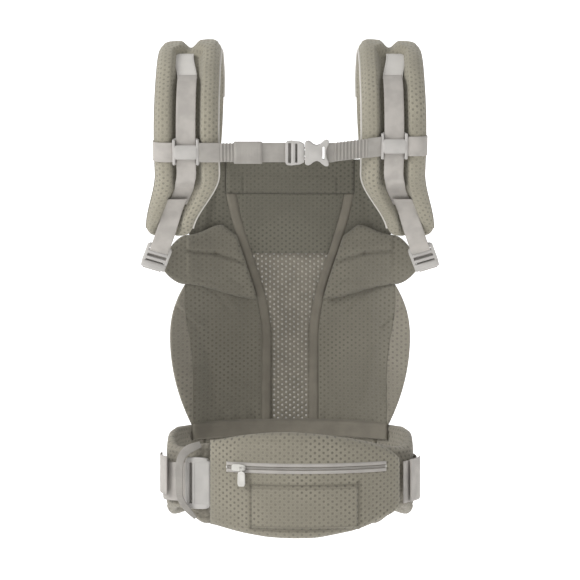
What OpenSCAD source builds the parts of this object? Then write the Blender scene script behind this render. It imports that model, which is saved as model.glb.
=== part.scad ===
// Soft baby carrier, worn shape: waist belt closed, chest strap closed, straps adjusted.
// The origin is the middle of the wearer's waist. +Z is up and +Y is the baby's side, so
// the lumbar pad, zip and buckles face -Y.

/* [Webbing] */
// Width of the shoulder and chest webbing
web_w = 25; // [22:1:25]
// Width of the waist webbing
waist_web_w = 50; // [44:1:52]
// Thickness of every webbing layer
web_t = 1.6; // [1.2:0.1:1.7]

/* [Lumbar pad] */
// Radius of the lumbar pad's outer face, seen from above
lumbar_r = 205; // [204:1:206]
// Thickness of the lumbar pad at its middle
lumbar_t = 22; // [18:1:24]

/* [Waist belt] */
// Thickness of the padded belt
belt_t = 14; // [10:1:15]
// Height of the padded belt at the front
belt_h = 118; // [110:1:118]

/* [Body panel] */
// Height of the panel's top edge above the waist
panel_top = 430; // [424:1:430]
// Half width of the seat at its widest
seat_half_w = 165; // [160:1:168]
// Depth of the seat's pouch behind the panel's top
seat_depth = 44; // [36:1:48]

/* [Shoulder straps] */
// Distance from the middle of the carrier to the middle of each strap
strap_x = 133; // [131:1:135]
// Width of the padded strap
strap_w = 82; // [78:1:84]
// Thickness of the strap's padded ridges
ridge_t = 26; // [24:1:26]

/* [Chest strap] */
// Angle of the chest strap on the strap's curve, below the curve's middle
chest_angle = 15; // [12:0.5:17]

/* [Hidden] */
$fn = 48;

gap = 0.25;             // between sewn or stacked pieces
fit = 0.3;              // between pieces that move on each other
cloth = "#8f8a7a";
dark_cloth = "#6f6c60";
plastic = "#b9b6b0";
webbing = "#b3aea8";

// ---- small helpers

function smooth(t) = t <= 0 ? 0 : t >= 1 ? 1 : t * t * (3 - 2 * t);
function mix(a, b, t) = a + (b - a) * t;
function unit(v) = v / norm(v);

// A point on the smooth line through pts, at t from 0 to 1.
function along(pts, t) =
    let (last = len(pts) - 1, s = min(max(t, 0), 1) * last, i = min(floor(s), last - 1), f = s - i,
         p1 = pts[i], p2 = pts[i + 1],
         p0 = i > 0 ? pts[i - 1] : 2 * p1 - p2, p3 = i + 2 <= last ? pts[i + 2] : 2 * p2 - p1)
    0.5 * (2 * p1 + (p2 - p0) * f + (2 * p0 - 5 * p1 + 4 * p2 - p3) * f * f
           + (3 * p1 - p0 - 3 * p2 + p3) * f * f * f);
function smooth_line(pts, n) = [for (i = [0 : n]) along(pts, i / n)];

// A closed solid between two grids of points with the same rows and columns.
module between(front, back) {
    rows = len(front);
    cols = len(front[0]);
    pts = concat([for (r = front) each r], [for (r = back) each r]);
    off = rows * cols;
    function at(i, j, k) = k * off + i * cols + j;
    skin = [for (i = [0 : rows - 2], j = [0 : cols - 2]) each [
        [at(i, j, 0), at(i, j + 1, 0), at(i + 1, j + 1, 0)],
        [at(i, j, 0), at(i + 1, j + 1, 0), at(i + 1, j, 0)],
        [at(i, j, 1), at(i + 1, j + 1, 1), at(i, j + 1, 1)],
        [at(i, j, 1), at(i + 1, j, 1), at(i + 1, j + 1, 1)]]];
    ends = [for (i = [0 : rows - 2]) each [
        [at(i, 0, 0), at(i + 1, 0, 0), at(i + 1, 0, 1)],
        [at(i, 0, 0), at(i + 1, 0, 1), at(i, 0, 1)],
        [at(i, cols - 1, 0), at(i + 1, cols - 1, 1), at(i + 1, cols - 1, 0)],
        [at(i, cols - 1, 0), at(i, cols - 1, 1), at(i + 1, cols - 1, 1)]]];
    rims = [for (j = [0 : cols - 2]) each [
        [at(0, j, 0), at(0, j, 1), at(0, j + 1, 1)],
        [at(0, j, 0), at(0, j + 1, 1), at(0, j + 1, 0)],
        [at(rows - 1, j, 0), at(rows - 1, j + 1, 1), at(rows - 1, j, 1)],
        [at(rows - 1, j, 0), at(rows - 1, j + 1, 0), at(rows - 1, j + 1, 1)]]];
    polyhedron(pts, concat(skin, ends, rims));
}

// A closed solid through a list of rings, each with the same number of points.
module through(rings) {
    n = len(rings[0]);
    last = len(rings) - 1;
    walls = [for (i = [0 : last - 1], j = [0 : n - 1]) let (k = (j + 1) % n) each [
        [i * n + j, i * n + k, (i + 1) * n + k],
        [i * n + j, (i + 1) * n + k, (i + 1) * n + j]]];
    caps = [[for (j = [n - 1 : -1 : 0]) j], [for (j = [0 : n - 1]) last * n + j]];
    polyhedron([for (r = rings) each r], concat(walls, caps));
}

// A ribbon of even thickness along a flat line, as a 2D outline.
module ribbon(line, t) {
    n = len(line);
    function heading(i) = unit(line[min(i + 1, n - 1)] - line[max(i - 1, 0)]);
    function side(i, s) = line[i] + s * t / 2 * [-heading(i)[1], heading(i)[0]];
    polygon(concat([for (i = [0 : n - 1]) side(i, 1)], [for (i = [n - 1 : -1 : 0]) side(i, -1)]));
}

// A band of webbing standing on its edge round the waist, between two heights.
module waist_band(line, low, high, t = web_t) {
    translate([0, 0, low]) linear_extrude(high - low) ribbon(line, t);
}

// A box given by its two corners.
module block(low, high) {
    translate(low) cube(high - low);
}

// The right-hand copy of a left-hand piece.
module other_side() {
    mirror([1, 0, 0]) children();
}

// ---- body panel: every piece lies on one curved surface

belt_top = belt_h / 2;
mesh_top = 300;
headrest_z = 382;       // the seam on which the headrest folds outwards
headrest_w = 90;
band_low = 252;         // lowest edge of the shoulder yokes

function panel_y(x, z) =
    104 + seat_depth * exp(-pow((z - 165) / 120, 2))
    - mix(100, 35, smooth((z - 260) / 140)) * pow(abs(x) / 165, 2.4);
function tape_x(z) = 34 + 51 * smooth((z - 180) / 230);
function seat_edge(z) = seat_half_w - (z < 180 ? 28 * pow((180 - z) / 119, 2)
                                                : 20 * pow((z - 180) / 74, 2.2));
function wing_x(z) = seat_edge(z) - 26 * sin(180 * (z - 55) / 200) - 1;

// A piece of the panel from x_in to x_out, outwards on the left, with its near and far faces
// given as distances from the panel's surface.
module panel_piece(z_low, z_high, x_in, x_out, near, far, rows = 10, cols = 10) {
    function x_at(z, j) = -mix(x_in(z), x_out(z), j / cols);
    function grid(off) = [for (i = [0 : rows]) let (z = mix(z_low, z_high, i / rows))
        [for (j = [0 : cols]) let (x = x_at(z, j)) [x, panel_y(x, z) + off, z]]];
    between(grid(-near), grid(far));
}

module centre_mesh() {
    color(dark_cloth)
    panel_piece(belt_top + gap, mesh_top, function(z) tape_x(z) - 7 - gap,
                function(z) -(tape_x(z) - 7 - gap), 1.5, 1.5, 14, 6);
}

module upper_panel() {
    color(dark_cloth)
    panel_piece(mesh_top + gap, headrest_z - gap, function(z) tape_x(z) - 7 - gap,
                function(z) -(tape_x(z) - 7 - gap), 5, 5, 6, 8);
}

module headrest() {
    color(dark_cloth)
    panel_piece(headrest_z + fit, panel_top, function(z) headrest_w, function(z) -headrest_w, 6, 6, 4, 12);
}

module seat_tape() {
    color(dark_cloth)
    panel_piece(belt_top + gap, headrest_z - gap, function(z) tape_x(z) - 7,
                function(z) tape_x(z) + 7, 5, 5, 16, 1);
}

module side_panel() {
    color(dark_cloth)
    panel_piece(belt_top + gap, band_low, function(z) tape_x(z) + 7 + gap,
                function(z) wing_x(z) - gap, 4, 4);
}

module seat_wing() {
    color(cloth)
    panel_piece(belt_top + gap, band_low, function(z) wing_x(z), function(z) seat_edge(z) + gap, 7, 7, 12, 3);
}

module shoulder_yoke() {
    color(dark_cloth)
    panel_piece(band_low + gap, panel_top,
                function(z) max(tape_x(z) + 7 + gap, z > headrest_z - 4 ? headrest_w + 2 : 0),
                function(z) mix(118, 165, smooth((z - 252) / 150)), 3, 3, 12, 6);
}

// The padded band that joins the panel to the strap's adjuster, narrow at its tip.
module arm_band() {
    cols = 12;
    rows = 6;
    tip = 171;
    function low(x) = x < 145 ? mix(233, 254, smooth((x - 55) / 90)) : 254 + 18 * pow((x - 145) / 26, 2);
    function high(x) = x < 75 ? mix(322, 337, (x - 55) / 20)
                     : x < 135 ? mix(337, 322, smooth((x - 75) / 60))
                     : 322 - 30 * pow((x - 135) / 36, 2);
    function grid(off) = [for (j = [0 : cols]) let (x = mix(55, tip, j / cols))
        [for (i = [0 : rows]) let (z = mix(low(x), high(x), i / rows), w = mix(tape_x(z) + 8, tip, j / cols))
            [-w, panel_y(w, z) + off + 14 * smooth((w - 135) / 36), z]]];
    color(dark_cloth) between(grid(-18), grid(-5.5));
}

// ---- waist belt

// The padded belt's middle line, from the front round the left side.
belt_line = [[0, 118], [-60, 111], [-114, 88], [-148, 48], [-158, 5],
             [-153, -24], [-137, -42], [-118, -52], [-101, -55]];
wing_from = 0.28;       // where the wing joins the front, as a part of the line
function belt_ring(t) =
    let (c = along(belt_line, abs(t)), d = unit(along(belt_line, abs(t) + 0.01) - along(belt_line, abs(t) - 0.01)),
         o = belt_t / 2 * [d[1], -d[0]], e = mix(belt_h / 2, 40, smooth((abs(t) - 0.4) / 0.3)),
         r = smooth((abs(t) - 0.7) / 0.24), h = e + 6 * r, l = e + 18 * r, s = t < 0 ? -1 : 1)
    [for (p = [[-1, 5 - l], [-1, h - 5], [-0.5, h], [0.5, h], [1, h - 5], [1, 5 - l], [0.5, -l], [-0.5, -l]])
        [s * (c[0] - o[0] * p[0]), c[1] - o[1] * p[0], p[1]]];

module belt_front() {
    n = 12;
    color(cloth) through([for (i = [-n : n]) belt_ring((wing_from - 0.001) * (i == 0 ? 0.02 : i) / n)]);
}

module belt_wing() {
    n = 24;
    color(cloth) through([for (i = [0 : n]) belt_ring(mix(wing_from, 0.98, i / n))]);
}

// ---- shoulder straps

strap_c = [10, 450];    // centre of the rear curve, across and up
arc_r = 97;             // radius of the rear curve to the pad's middle
arc_low = -35;          // the rear curve's ends, as angles from level
arc_high = 35;
tail_len = 84;          // straight lower end of the padded strap
half_w = strap_w / 2;
groove_half = 17;
groove_floor = -2;      // from the pad's middle surface

function arc_point(a, r = arc_r) = [strap_c[0] - r * cos(a), strap_c[1] + r * sin(a)];
function tail_point(d, r = arc_r) = arc_point(arc_low, r) + d * [-sin(arc_low), -cos(arc_low)];
crown = [arc_point(arc_high), [-54, 530], [-33, 551], [-8, 565], [18, 570], [48, 562],
         [76, 541], [94, 509], [98, 475], [93, 450], [85, 436]];
strap_path = concat(
    [for (i = [0 : 5]) tail_point(tail_len * (5 - i) / 5)],
    [for (a = [arc_low + 5 : 5 : arc_high - 5]) arc_point(a)],
    smooth_line(crown, 20));
function strap_shift(z) = 27 * smooth((398 - z) / 75);
// The crown's far end runs in at the same place but is narrower and thinner.
function strap_scale(i, n) = i < 5 ? mix(0.74, 1, smooth(i / 5)) : i > n - 8 ? mix(1, 0.84, (i - n + 8) / 8) : 1;

section = [[-1, 0], [-0.92, 9], [-0.7, 13], [-0.5, 9.5], [-0.42, groove_floor],
           [0.42, groove_floor], [0.5, 9.5], [0.7, 13], [0.92, 9], [1, 0],
           [0.92, -9], [0.7, -13], [-0.7, -13], [-0.92, -9]];

module shoulder_pad() {
    n = len(strap_path) - 1;
    function ring(i) =
        let (d = unit(strap_path[min(i + 1, n)] - strap_path[max(i - 1, 0)]), o = [-d[1], d[0]],
             k = strap_scale(i, n), thin = (i == 0 ? 0.55 : 1) * ridge_t / 26,
             c = strap_path[i], near = i < 20)
        [for (p = section) [-strap_x - (near ? strap_shift(c[1]) : 0) + p[0] * half_w * k,
                            c[0] + o[0] * p[1] * k * thin, c[1] + o[1] * p[1] * k * thin]];
    color(cloth) through([for (i = [0 : n]) ring(i)]);
}

rail_r = 107.5;         // radius to the rail webbing's middle
stitch_r = arc_r + groove_floor + gap + web_t;
// The webbing rail that the chest strap's slider climbs, sewn down at both ends.
module rail_web() {
    line = concat([for (d = [26, 18, 9]) tail_point(d, mix(rail_r, stitch_r, smooth((d - 2) / 22)))],
                  [for (a = [arc_low : 4 : arc_high - 2]) arc_point(a, rail_r)],
                  [arc_point(38, rail_r - 1.5) + [0, 1], arc_point(44, rail_r - 5) + [0, 3]]);
    n = len(line) - 1;
    color(webbing) through([for (i = [0 : n])
        let (d = unit(line[min(i + 1, n)] - line[max(i - 1, 0)]), o = [-d[1], d[0]] * web_t / 2,
             x = -strap_x - strap_shift(line[i][1]))
        [for (p = [[-1, -1], [1, -1], [1, 1], [-1, 1]])
            [x + p[0] * web_w / 2, line[i][0] + o[0] * p[1], line[i][1] + o[1] * p[1]]]]);
}

// Everything at the strap's lower end is placed on the ladder lock's plane.
slant = 20;
lock_at = [-178, -10, 291];
module at_lock() {
    translate(lock_at) rotate([-arc_low, 0, 0]) rotate([0, slant, 0]) children();
}

lock_w = 34;
lock_h = 36;
module ladder_lock() {
    color(plastic) at_lock() difference() {
        block([-lock_w / 2, -2.5, -lock_h / 2], [lock_w / 2, 2.5, lock_h / 2]);
        for (z = [-9.5, 0.5, 10.5])
            block([-web_w / 2 - 1, -3, z - 2.5], [web_w / 2 + 1, 3, z + 2.5]);
    }
}

// The short webbing loop that holds the ladder lock on the padded strap.
module ladder_loop() {
    color(webbing) at_lock() {
        block([-web_w / 2, -3.8 - web_t, lock_h / 2 - 2.5], [web_w / 2, -3.8, 84]);
    }
}

// The adjusting webbing between the ladder lock and the arm band.
module adjust_web() {
    color(webbing) at_lock()
        block([-web_w / 2, 3.2, -23], [web_w / 2, 3.2 + web_t, -3]);
}

// ---- chest strap, drawn at the level of the rear curve's centre and then turned down

chest_face = 111.2;     // from the curve's axis to the slider plate's inner face
module at_chest() {
    translate([0, strap_c[0], strap_c[1]]) rotate([chest_angle, 0, 0]) children();
}
// A chest piece from its near and far distances from the curve's axis.
module chest_block(x, z, near, far) {
    block([x[0], -near, z[0]], [x[1], -far, z[1]]);
}

slider_w = 43;
slider_h = 35;
slider_x = -139;
module chest_slider() {
    post = web_w / 2 + 0.6;
    color(plastic) at_chest() translate([slider_x + 6, 0, 0]) difference() {
        union() {
            chest_block([-slider_w / 2 - 2, slider_w / 2 - 4], [-slider_h / 2, slider_h / 2],
                        chest_face + 3, chest_face);
            chest_block([-post - 2.2, post + 2.2], [-slider_h / 2 + 3, slider_h / 2 - 3],
                        chest_face + 0.1, 100);
        }
        chest_block([-post, post], [-slider_h / 2 - 1, slider_h / 2 + 1], chest_face - 0.6, 103);
        for (z = [-9.5, 4.5])
            chest_block([-post, post], [z, z + 5], chest_face + 4, chest_face - 1);
        chest_block([-post, post], [-9, 9], 104, 99);
        chest_block([-slider_w / 2 + 1, -post - 3], [-13, 13], chest_face + 4, chest_face - 1);
    }
}

// The band that wraps the padded strap's outer edge and holds the slider against it.
module chest_band() {
    out = half_w + 1.2;
    color(webbing) at_chest() difference() {
        chest_block([-strap_x - out - web_t, -strap_x - 27], [-web_w / 2, web_w / 2], chest_face - 0.3, 98);
        chest_block([-strap_x - out, -strap_x - 27 + 1], [-web_w, web_w], chest_face - 0.3 - web_t / 2, 90);
    }
}

web_face = chest_face + 0.5;
buckle_x = 19;          // where the female half's mouth lies
module chest_web_left() {
    color(webbing) at_chest() {
        chest_block([-114.6, -72], [-web_w / 2, web_w / 2], web_face + web_t, web_face);
        chest_block([-35, 4], [-web_w / 2, web_w / 2], web_face - fit, web_face - fit - web_t);
    }
}

module chest_keeper() {
    color(webbing) at_chest()
        chest_block([-72 + gap, -35 - gap], [-14.5, 14.5], web_face + 3.2, web_face - 1.6);
}

// The right-hand end of the strap sits a little higher on its rail than the left-hand end.
right_rise = 4;
module raised() {
    translate([0, strap_c[0], strap_c[1]]) rotate([-right_rise, 0, 0])
        translate([0, -strap_c[0], -strap_c[1]]) children();
}
module chest_web_right() {
    k = chest_face * sin(right_rise) / 62.6;
    color(webbing) at_chest() multmatrix([[1, 0, 0, 0], [0, 1, 0, 0], [k, 0, 1, -52 * k], [0, 0, 0, 1]])
        chest_block([52, 114.6], [-web_w / 2, web_w / 2], web_face + web_t, web_face);
}

shell_t = 8;
shell_h = 33;
shell_near = web_face + 6.5;
shell_far = shell_near - shell_t;
module chest_buckle_female() {
    outline = [[19, 12.5], [27, 16.5], [36, 12], [47, 14.5], [47, 4], [50.5, 2]];
    color(plastic) at_chest() difference() {
        rotate([90, 0, 0]) translate([0, 0, shell_far]) linear_extrude(shell_t)
            polygon(concat(outline, [for (i = [len(outline) - 1 : -1 : 0]) [outline[i][0], -outline[i][1]]]));
        chest_block([18, 40], [-11.8, 11.8], shell_near - 1.7, shell_far + 1.7);
    }
}

module chest_buckle_male() {
    near = shell_near - 2.2;
    far = shell_far + 2.2;
    color(plastic) at_chest() {
        difference() {
            chest_block([-6, 18], [-16, 16], near + 0.9, far - 0.4);
            chest_block([-2.5, 1.5], [-13.2, 13.2], near + 2, far - 1);
            chest_block([6, 9], [-13.2, 13.2], near + 2, far - 1);
        }
        chest_block([18 - 0.01, 36], [-3, 3], near, far);
    }
}

module chest_prong(s) {
    near = shell_near - 2.2;
    far = shell_far + 2.2;
    color(plastic) at_chest()
        chest_block([18.3, 34], s > 0 ? [7, 10.6] : [-10.6, -7], near, far);
}

// ---- lumbar pad, its pocket and its zip, on a curve seen from above

lumbar_c = [15, lumbar_r - 130];
lumbar_left = -100;
lumbar_right = 146;
function lumbar_top(x) = lookup(x, [[-100, 54], [-64, 62], [-30, 66], [0, 67], [40, 64], [83, 58],
                                    [112, 51], [132, 42], [141, 34], [146, 25]]);
function lumbar_low(x) = lookup(x, [[-100, -54], [-64, -62], [-30, -66], [0, -67], [34, -66.5],
                                    [88, -58], [112, -50], [130, -42], [141, -36], [146, -30]]);
function lumbar_thick(x) = mix(12, lumbar_t, smooth((x + 100) / 45)) - 10 * smooth((x - 110) / 36);
function lumbar_at(x, off = 0) =
    let (a = asin((x - lumbar_c[0]) / lumbar_r), r = lumbar_r + off)
    [lumbar_c[0] + r * sin(a), lumbar_c[1] - r * cos(a)];

module lumbar_pad() {
    n = 26;
    function ring(x) =
        let (h = lumbar_top(x), l = lumbar_low(x), t = lumbar_thick(x))
        [for (p = [[0, l + 12], [0, h - 12], [-0.2 * t, h - 3], [-0.5 * t, h], [-0.8 * t, h - 3],
                   [-t, h - 12], [-t, l + 12], [-0.8 * t, l + 3], [-0.5 * t, l], [-0.2 * t, l + 3]])
            let (c = lumbar_at(x, p[0])) [c[0], c[1], p[1]]];
    color(cloth) through([for (i = [0 : n]) ring(mix(lumbar_left, lumbar_right, i / n))]);
}

// A flat strip lying on the lumbar pad's outer face.
module lumbar_strip(x_from, x_to, low, high, from, to, n = 12) {
    line = [for (i = [0 : n]) mix(x_from, x_to, i / n)];
    outline = concat([for (x = line) lumbar_at(x, to)],
                     [for (i = [n : -1 : 0]) lumbar_at(line[i], from)]);
    translate([0, 0, low]) linear_extrude(high - low) polygon(outline);
}

module lumbar_pocket() {
    color(cloth) lumbar_strip(-50, 87, -55, 1, 0.3, 2.2);
}

zip_z = 22;
zip_left = -81;
zip_right = 123;
module zip_tapes() {
    color(webbing) {
        lumbar_strip(zip_left, zip_right, zip_z + 1.6, zip_z + 6.5, 0.2, 0.9, 20);
        lumbar_strip(zip_left, zip_right, zip_z - 6.5, zip_z - 1.6, 0.2, 0.9, 20);
    }
}
module zip_coil() {
    color(webbing) lumbar_strip(zip_left + 2.5, zip_right - 2.5, zip_z - 1.3, zip_z + 1.3, 0.2, 1.6, 20);
}
module zip_stops() {
    color(plastic) {
        lumbar_strip(zip_left, zip_left + 2, zip_z - 1.4, zip_z + 1.4, 0.2, 2, 1);
        lumbar_strip(zip_right - 2, zip_right, zip_z - 1.4, zip_z + 1.4, 0.2, 2, 1);
    }
}

slider_at = -65;        // the closed zip's slider
pull_z = zip_z - 1;     // the pull tab's pin
module at_zip_slider() {
    a = asin((slider_at - lumbar_c[0]) / lumbar_r);
    translate([lumbar_c[0], lumbar_c[1], 0]) rotate([0, 0, a]) translate([0, -lumbar_r, 0]) children();
}
module zip_slider() {
    color(plastic) at_zip_slider() {
        difference() {
            block([-8, -5, zip_z - 4.5], [11, -2.4, zip_z + 4.5]);
            block([-9, -2.8, zip_z - 1.8], [12, -2, zip_z + 1.8]);
        }
        for (x = [4.5, 9.5])
            block([x - 0.9, -8, pull_z - 1.8], [x + 0.9, -4.9, pull_z + 1.8]);
        translate([4.5, -6.6, pull_z]) rotate([0, 90, 0]) cylinder(d = 1.6, h = 5);
    }
}
module zip_pull() {
    color(plastic) at_zip_slider() difference() {
        union() {
            block([5.7, -7.9, pull_z - 22], [8.3, -5.3, pull_z]);
            translate([5.7, -6.6, pull_z]) rotate([0, 90, 0]) cylinder(d = 2.6, h = 2.6);
        }
        translate([5, -6.6, pull_z]) rotate([0, 90, 0]) cylinder(d = 1.7, h = 4);
    }
}

// ---- waist closure, drawn along the belt's line at the left and turned with it

buckle_turn = -20;
buckle_at = [-118, -66];
buckle_z = -4;          // the buckle sits a little below the belt's middle
module at_buckle() {
    translate([buckle_at[0], buckle_at[1], buckle_z]) rotate([0, 0, buckle_turn]) children();
}
waist_h = 67;
mouth = 18;             // the female half starts here
module waist_buckle_female() {
    color(plastic) at_buckle() difference() {
        block([mouth, -4.5, -waist_h / 2 + 2], [mouth + 36, 4.5, waist_h / 2 - 2]);
        block([mouth - 1, -3.1, -waist_h / 2 + 5], [mouth + 25, 3.1, waist_h / 2 - 5]);
        block([mouth + 29, -5, -waist_web_w / 2 - 1], [mouth + 32, 5, waist_web_w / 2 + 1]);
    }
}
module waist_buckle_male() {
    color(plastic) at_buckle() {
        difference() {
            block([-18, -4.5, -waist_h / 2], [mouth - 0.6, 4.5, waist_h / 2]);
            block([-13.5, -5, -waist_web_w / 2 - 1], [-9, 5, waist_web_w / 2 + 1]);
            block([-19, 1.5, -waist_web_w / 2 - 1], [mouth + 1, 5, waist_web_w / 2 + 1]);
        }
        block([mouth - 0.7, -2.6, -5], [mouth + 22, 1.7, 5]);
    }
}
module waist_prong(s) {
    color(plastic) at_buckle()
        block([mouth - 0.1, -2.6, s > 0 ? 19 : -25], [mouth + 20, 1.7, s > 0 ? 25 : -19]);
}
module waist_female_web() {
    color(webbing) at_buckle()
        block([mouth + 36.4, -2, -waist_web_w / 2], [mouth + 60, -2 + web_t, waist_web_w / 2]);
}
// The belt's webbing runs behind the male half's bars and is sewn to the wing's side.
module waist_web_left() {
    straight = [for (x = [8, -20, -36]) buckle_at + x * [cos(buckle_turn), sin(buckle_turn)]
                                        + 2.9 * [-sin(buckle_turn), cos(buckle_turn)]];
    color(webbing) {
        waist_band(concat(straight, smooth_line([[-163, -41], [-167.5, -24], [-168, 4], [-164.5, 28]], 9)),
                   buckle_z - waist_web_w / 2, buckle_z + waist_web_w / 2);
        waist_band(smooth_line([[-161, -54], [-168, -38], [-172, -20], [-171.5, -2]], 12),
                   -waist_web_w / 2 + 4, waist_web_w / 2 + 4);
    }
}
module waist_web_right() {
    color(webbing)
        waist_band(smooth_line([[146.5, -76], [157, -58], [165, -38], [168, -18], [168, 4], [164.5, 28]], 14),
                   -29, 25);
}
module waist_web_fold() {
    color(webbing)
        waist_band(smooth_line([[156, -69], [164, -54], [169.5, -40], [171.5, -24]], 9), -28, 27, 2.2);
}
module safety_loop() {
    line = smooth_line([[-116, -63, 46], [-134, -70, 38], [-142, -73, 24], [-143, -74, 1],
                        [-142, -73.5, -21], [-134, -73, -35], [-122.5, -68, -49]], 18);
    color(webbing) through([for (p = line)
        [p + [-6, 2.5, 0], p + [6, 0, 0], p + [6, -1.4, 0], p + [-6, 1.1, 0]]]);
}

centre_mesh();
upper_panel();
headrest();
seat_tape();  // seat_tape_left
other_side() seat_tape();  // seat_tape_right
side_panel();  // side_panel_left
other_side() side_panel();  // side_panel_right
seat_wing();  // seat_wing_left
other_side() seat_wing();  // seat_wing_right
shoulder_yoke();  // shoulder_yoke_left
other_side() shoulder_yoke();  // shoulder_yoke_right
arm_band();  // arm_band_left
other_side() arm_band();  // arm_band_right
belt_front();
belt_wing();  // belt_wing_left
other_side() belt_wing();  // belt_wing_right
shoulder_pad();  // shoulder_pad_left
other_side() shoulder_pad();  // shoulder_pad_right
rail_web();  // rail_web_left
other_side() rail_web();  // rail_web_right
adjust_web();  // adjust_web_left
other_side() adjust_web();  // adjust_web_right
ladder_lock();  // ladder_lock_left
other_side() ladder_lock();  // ladder_lock_right
ladder_loop();  // ladder_loop_left
other_side() ladder_loop();  // ladder_loop_right
chest_slider();  // chest_slider_left
raised() other_side() chest_slider();  // chest_slider_right
chest_band();  // chest_band_left
raised() other_side() chest_band();  // chest_band_right
chest_web_left();
chest_web_right();
chest_keeper();
chest_buckle_female();
chest_buckle_male();
chest_prong(1);  // chest_prong_upper
chest_prong(-1);  // chest_prong_lower
lumbar_pad();
lumbar_pocket();
zip_tapes();
zip_coil();
zip_stops();
zip_slider();
zip_pull();
waist_buckle_female();
waist_buckle_male();
waist_prong(1);  // waist_prong_upper
waist_prong(-1);  // waist_prong_lower
waist_female_web();
waist_web_left();
waist_web_right();
waist_web_fold();
safety_loop();
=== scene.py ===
"""A soft baby carrier in its worn shape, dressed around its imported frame.

Lengths inside the classes are millimetres in the frame's own axes: +X to the right, +Y towards the
baby's side and +Z up, with the middle of the wearer's waist at the origin. Meshes are written in metres.
"""
from __future__ import annotations

import logging
import math
from dataclasses import dataclass
from enum import Enum
from typing import Any, Callable, Sequence

import bmesh
import bpy
import numpy as np
from mathutils import Matrix, Vector

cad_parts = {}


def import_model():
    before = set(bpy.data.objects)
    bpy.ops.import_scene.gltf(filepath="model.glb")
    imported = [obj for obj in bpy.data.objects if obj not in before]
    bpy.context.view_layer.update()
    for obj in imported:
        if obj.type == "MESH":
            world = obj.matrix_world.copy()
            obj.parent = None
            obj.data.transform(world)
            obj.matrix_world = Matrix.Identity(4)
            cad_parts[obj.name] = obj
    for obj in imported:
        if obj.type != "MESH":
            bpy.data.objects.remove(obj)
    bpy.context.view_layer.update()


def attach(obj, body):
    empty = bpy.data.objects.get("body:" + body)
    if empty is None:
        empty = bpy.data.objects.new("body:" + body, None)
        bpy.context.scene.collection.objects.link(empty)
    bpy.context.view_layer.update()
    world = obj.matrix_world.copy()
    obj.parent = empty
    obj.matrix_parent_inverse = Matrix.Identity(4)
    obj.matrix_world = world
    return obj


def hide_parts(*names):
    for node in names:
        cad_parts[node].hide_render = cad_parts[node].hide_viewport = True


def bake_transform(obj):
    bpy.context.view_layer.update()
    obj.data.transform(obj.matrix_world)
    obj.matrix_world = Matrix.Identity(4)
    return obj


log = logging.getLogger("carrier")

MM = 0.001
Grid = np.ndarray
Object = bpy.types.Object
Socket = bpy.types.NodeSocket
Point = Sequence[float]
Colour = tuple[float, float, float, float]
Crease = tuple[tuple[float, float], tuple[float, float], float, float]


class Slot(Enum):
    """The record's material slots."""

    MESH = "panel_mesh"
    KNIT = "padded_knit"
    WEB = "webbing"
    PLASTIC = "buckle_plastic"
    ZIP = "zip"


# ---------------------------------------------------------------- small maths

def smooth(t: Any) -> Any:
    """Return the smooth step of t, which runs from 0 to 1."""
    t = np.clip(t, 0.0, 1.0)
    return t * t * (3 - 2 * t)


def mix(a: Any, b: Any, t: Any) -> Any:
    """Return the value at t between a and b."""
    return a + (b - a) * t


def along(points: Sequence[Point], t: float) -> np.ndarray:
    """Return a point on the smooth line through points.

    Args:
        points: Two or more points, of any dimension.
        t: The place on the line, from 0 to 1.

    Returns:
        The point as an array.
    """
    last = len(points) - 1
    s = min(max(t, 0.0), 1.0) * last
    i = min(int(s), last - 1)
    f = s - i
    p1, p2 = np.array(points[i], float), np.array(points[i + 1], float)
    p0 = np.array(points[i - 1], float) if i > 0 else 2 * p1 - p2
    p3 = np.array(points[i + 2], float) if i + 2 <= last else 2 * p2 - p1
    return 0.5 * (2 * p1 + (p2 - p0) * f + (2 * p0 - 5 * p1 + 4 * p2 - p3) * f * f
                  + (3 * p1 - p0 - 3 * p2 + p3) * f ** 3)


def smooth_line(points: Sequence[Point], n: int) -> np.ndarray:
    """Return n + 1 points on the smooth line through points."""
    return np.array([along(points, i / n) for i in range(n + 1)])


def at_lengths(want: np.ndarray, run: np.ndarray, values: np.ndarray) -> np.ndarray:
    """Return rows of values at the wanted running lengths."""
    return np.stack([np.interp(want, run, column) for column in values.T], axis=1)


def evenly(line: np.ndarray, step: float) -> np.ndarray:
    """Return points about step apart along a line of points, both ends kept."""
    seg = np.linalg.norm(np.diff(line, axis=0), axis=1)
    dist = np.concatenate([[0.0], np.cumsum(seg)])
    n = max(2, int(round(dist[-1] / step)))
    return at_lengths(np.linspace(0.0, dist[-1], n + 1), dist, line)


def unit(v: np.ndarray) -> np.ndarray:
    """Return vectors of length one, along the last axis."""
    return v / np.maximum(np.linalg.norm(v, axis=-1, keepdims=True), 1e-9)


def headings(line: np.ndarray) -> np.ndarray:
    """Return the unit direction at each point of a line."""
    return unit(np.gradient(line, axis=0))


def arc_lengths(grid: Grid, axis: int) -> np.ndarray:
    """Return the running length along one axis of a grid of points."""
    step = np.linalg.norm(np.diff(grid, axis=axis), axis=2)
    return np.concatenate([np.zeros_like(np.take(step, [0], axis=axis)), np.cumsum(step, axis=axis)],
                          axis=axis)


def running(line: np.ndarray) -> np.ndarray:
    """Return the running length at each point of a line."""
    return arc_lengths(line[:, None], 0)[:, 0]


def beside(line: np.ndarray) -> np.ndarray:
    """Return the direction a quarter turn to the left of a flat line, at each point."""
    d = headings(line)
    return np.stack([-d[:, 1], d[:, 0]], axis=1)


def upright(flat: np.ndarray) -> np.ndarray:
    """Return flat points or directions as ones across the body and up, at X 0."""
    return np.stack([np.zeros(len(flat)), flat[:, 0], flat[:, 1]], axis=1)


def repeated(vector: Point, count: int) -> np.ndarray:
    """Return the same vector on every row."""
    return np.repeat([vector], count, 0)


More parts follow.
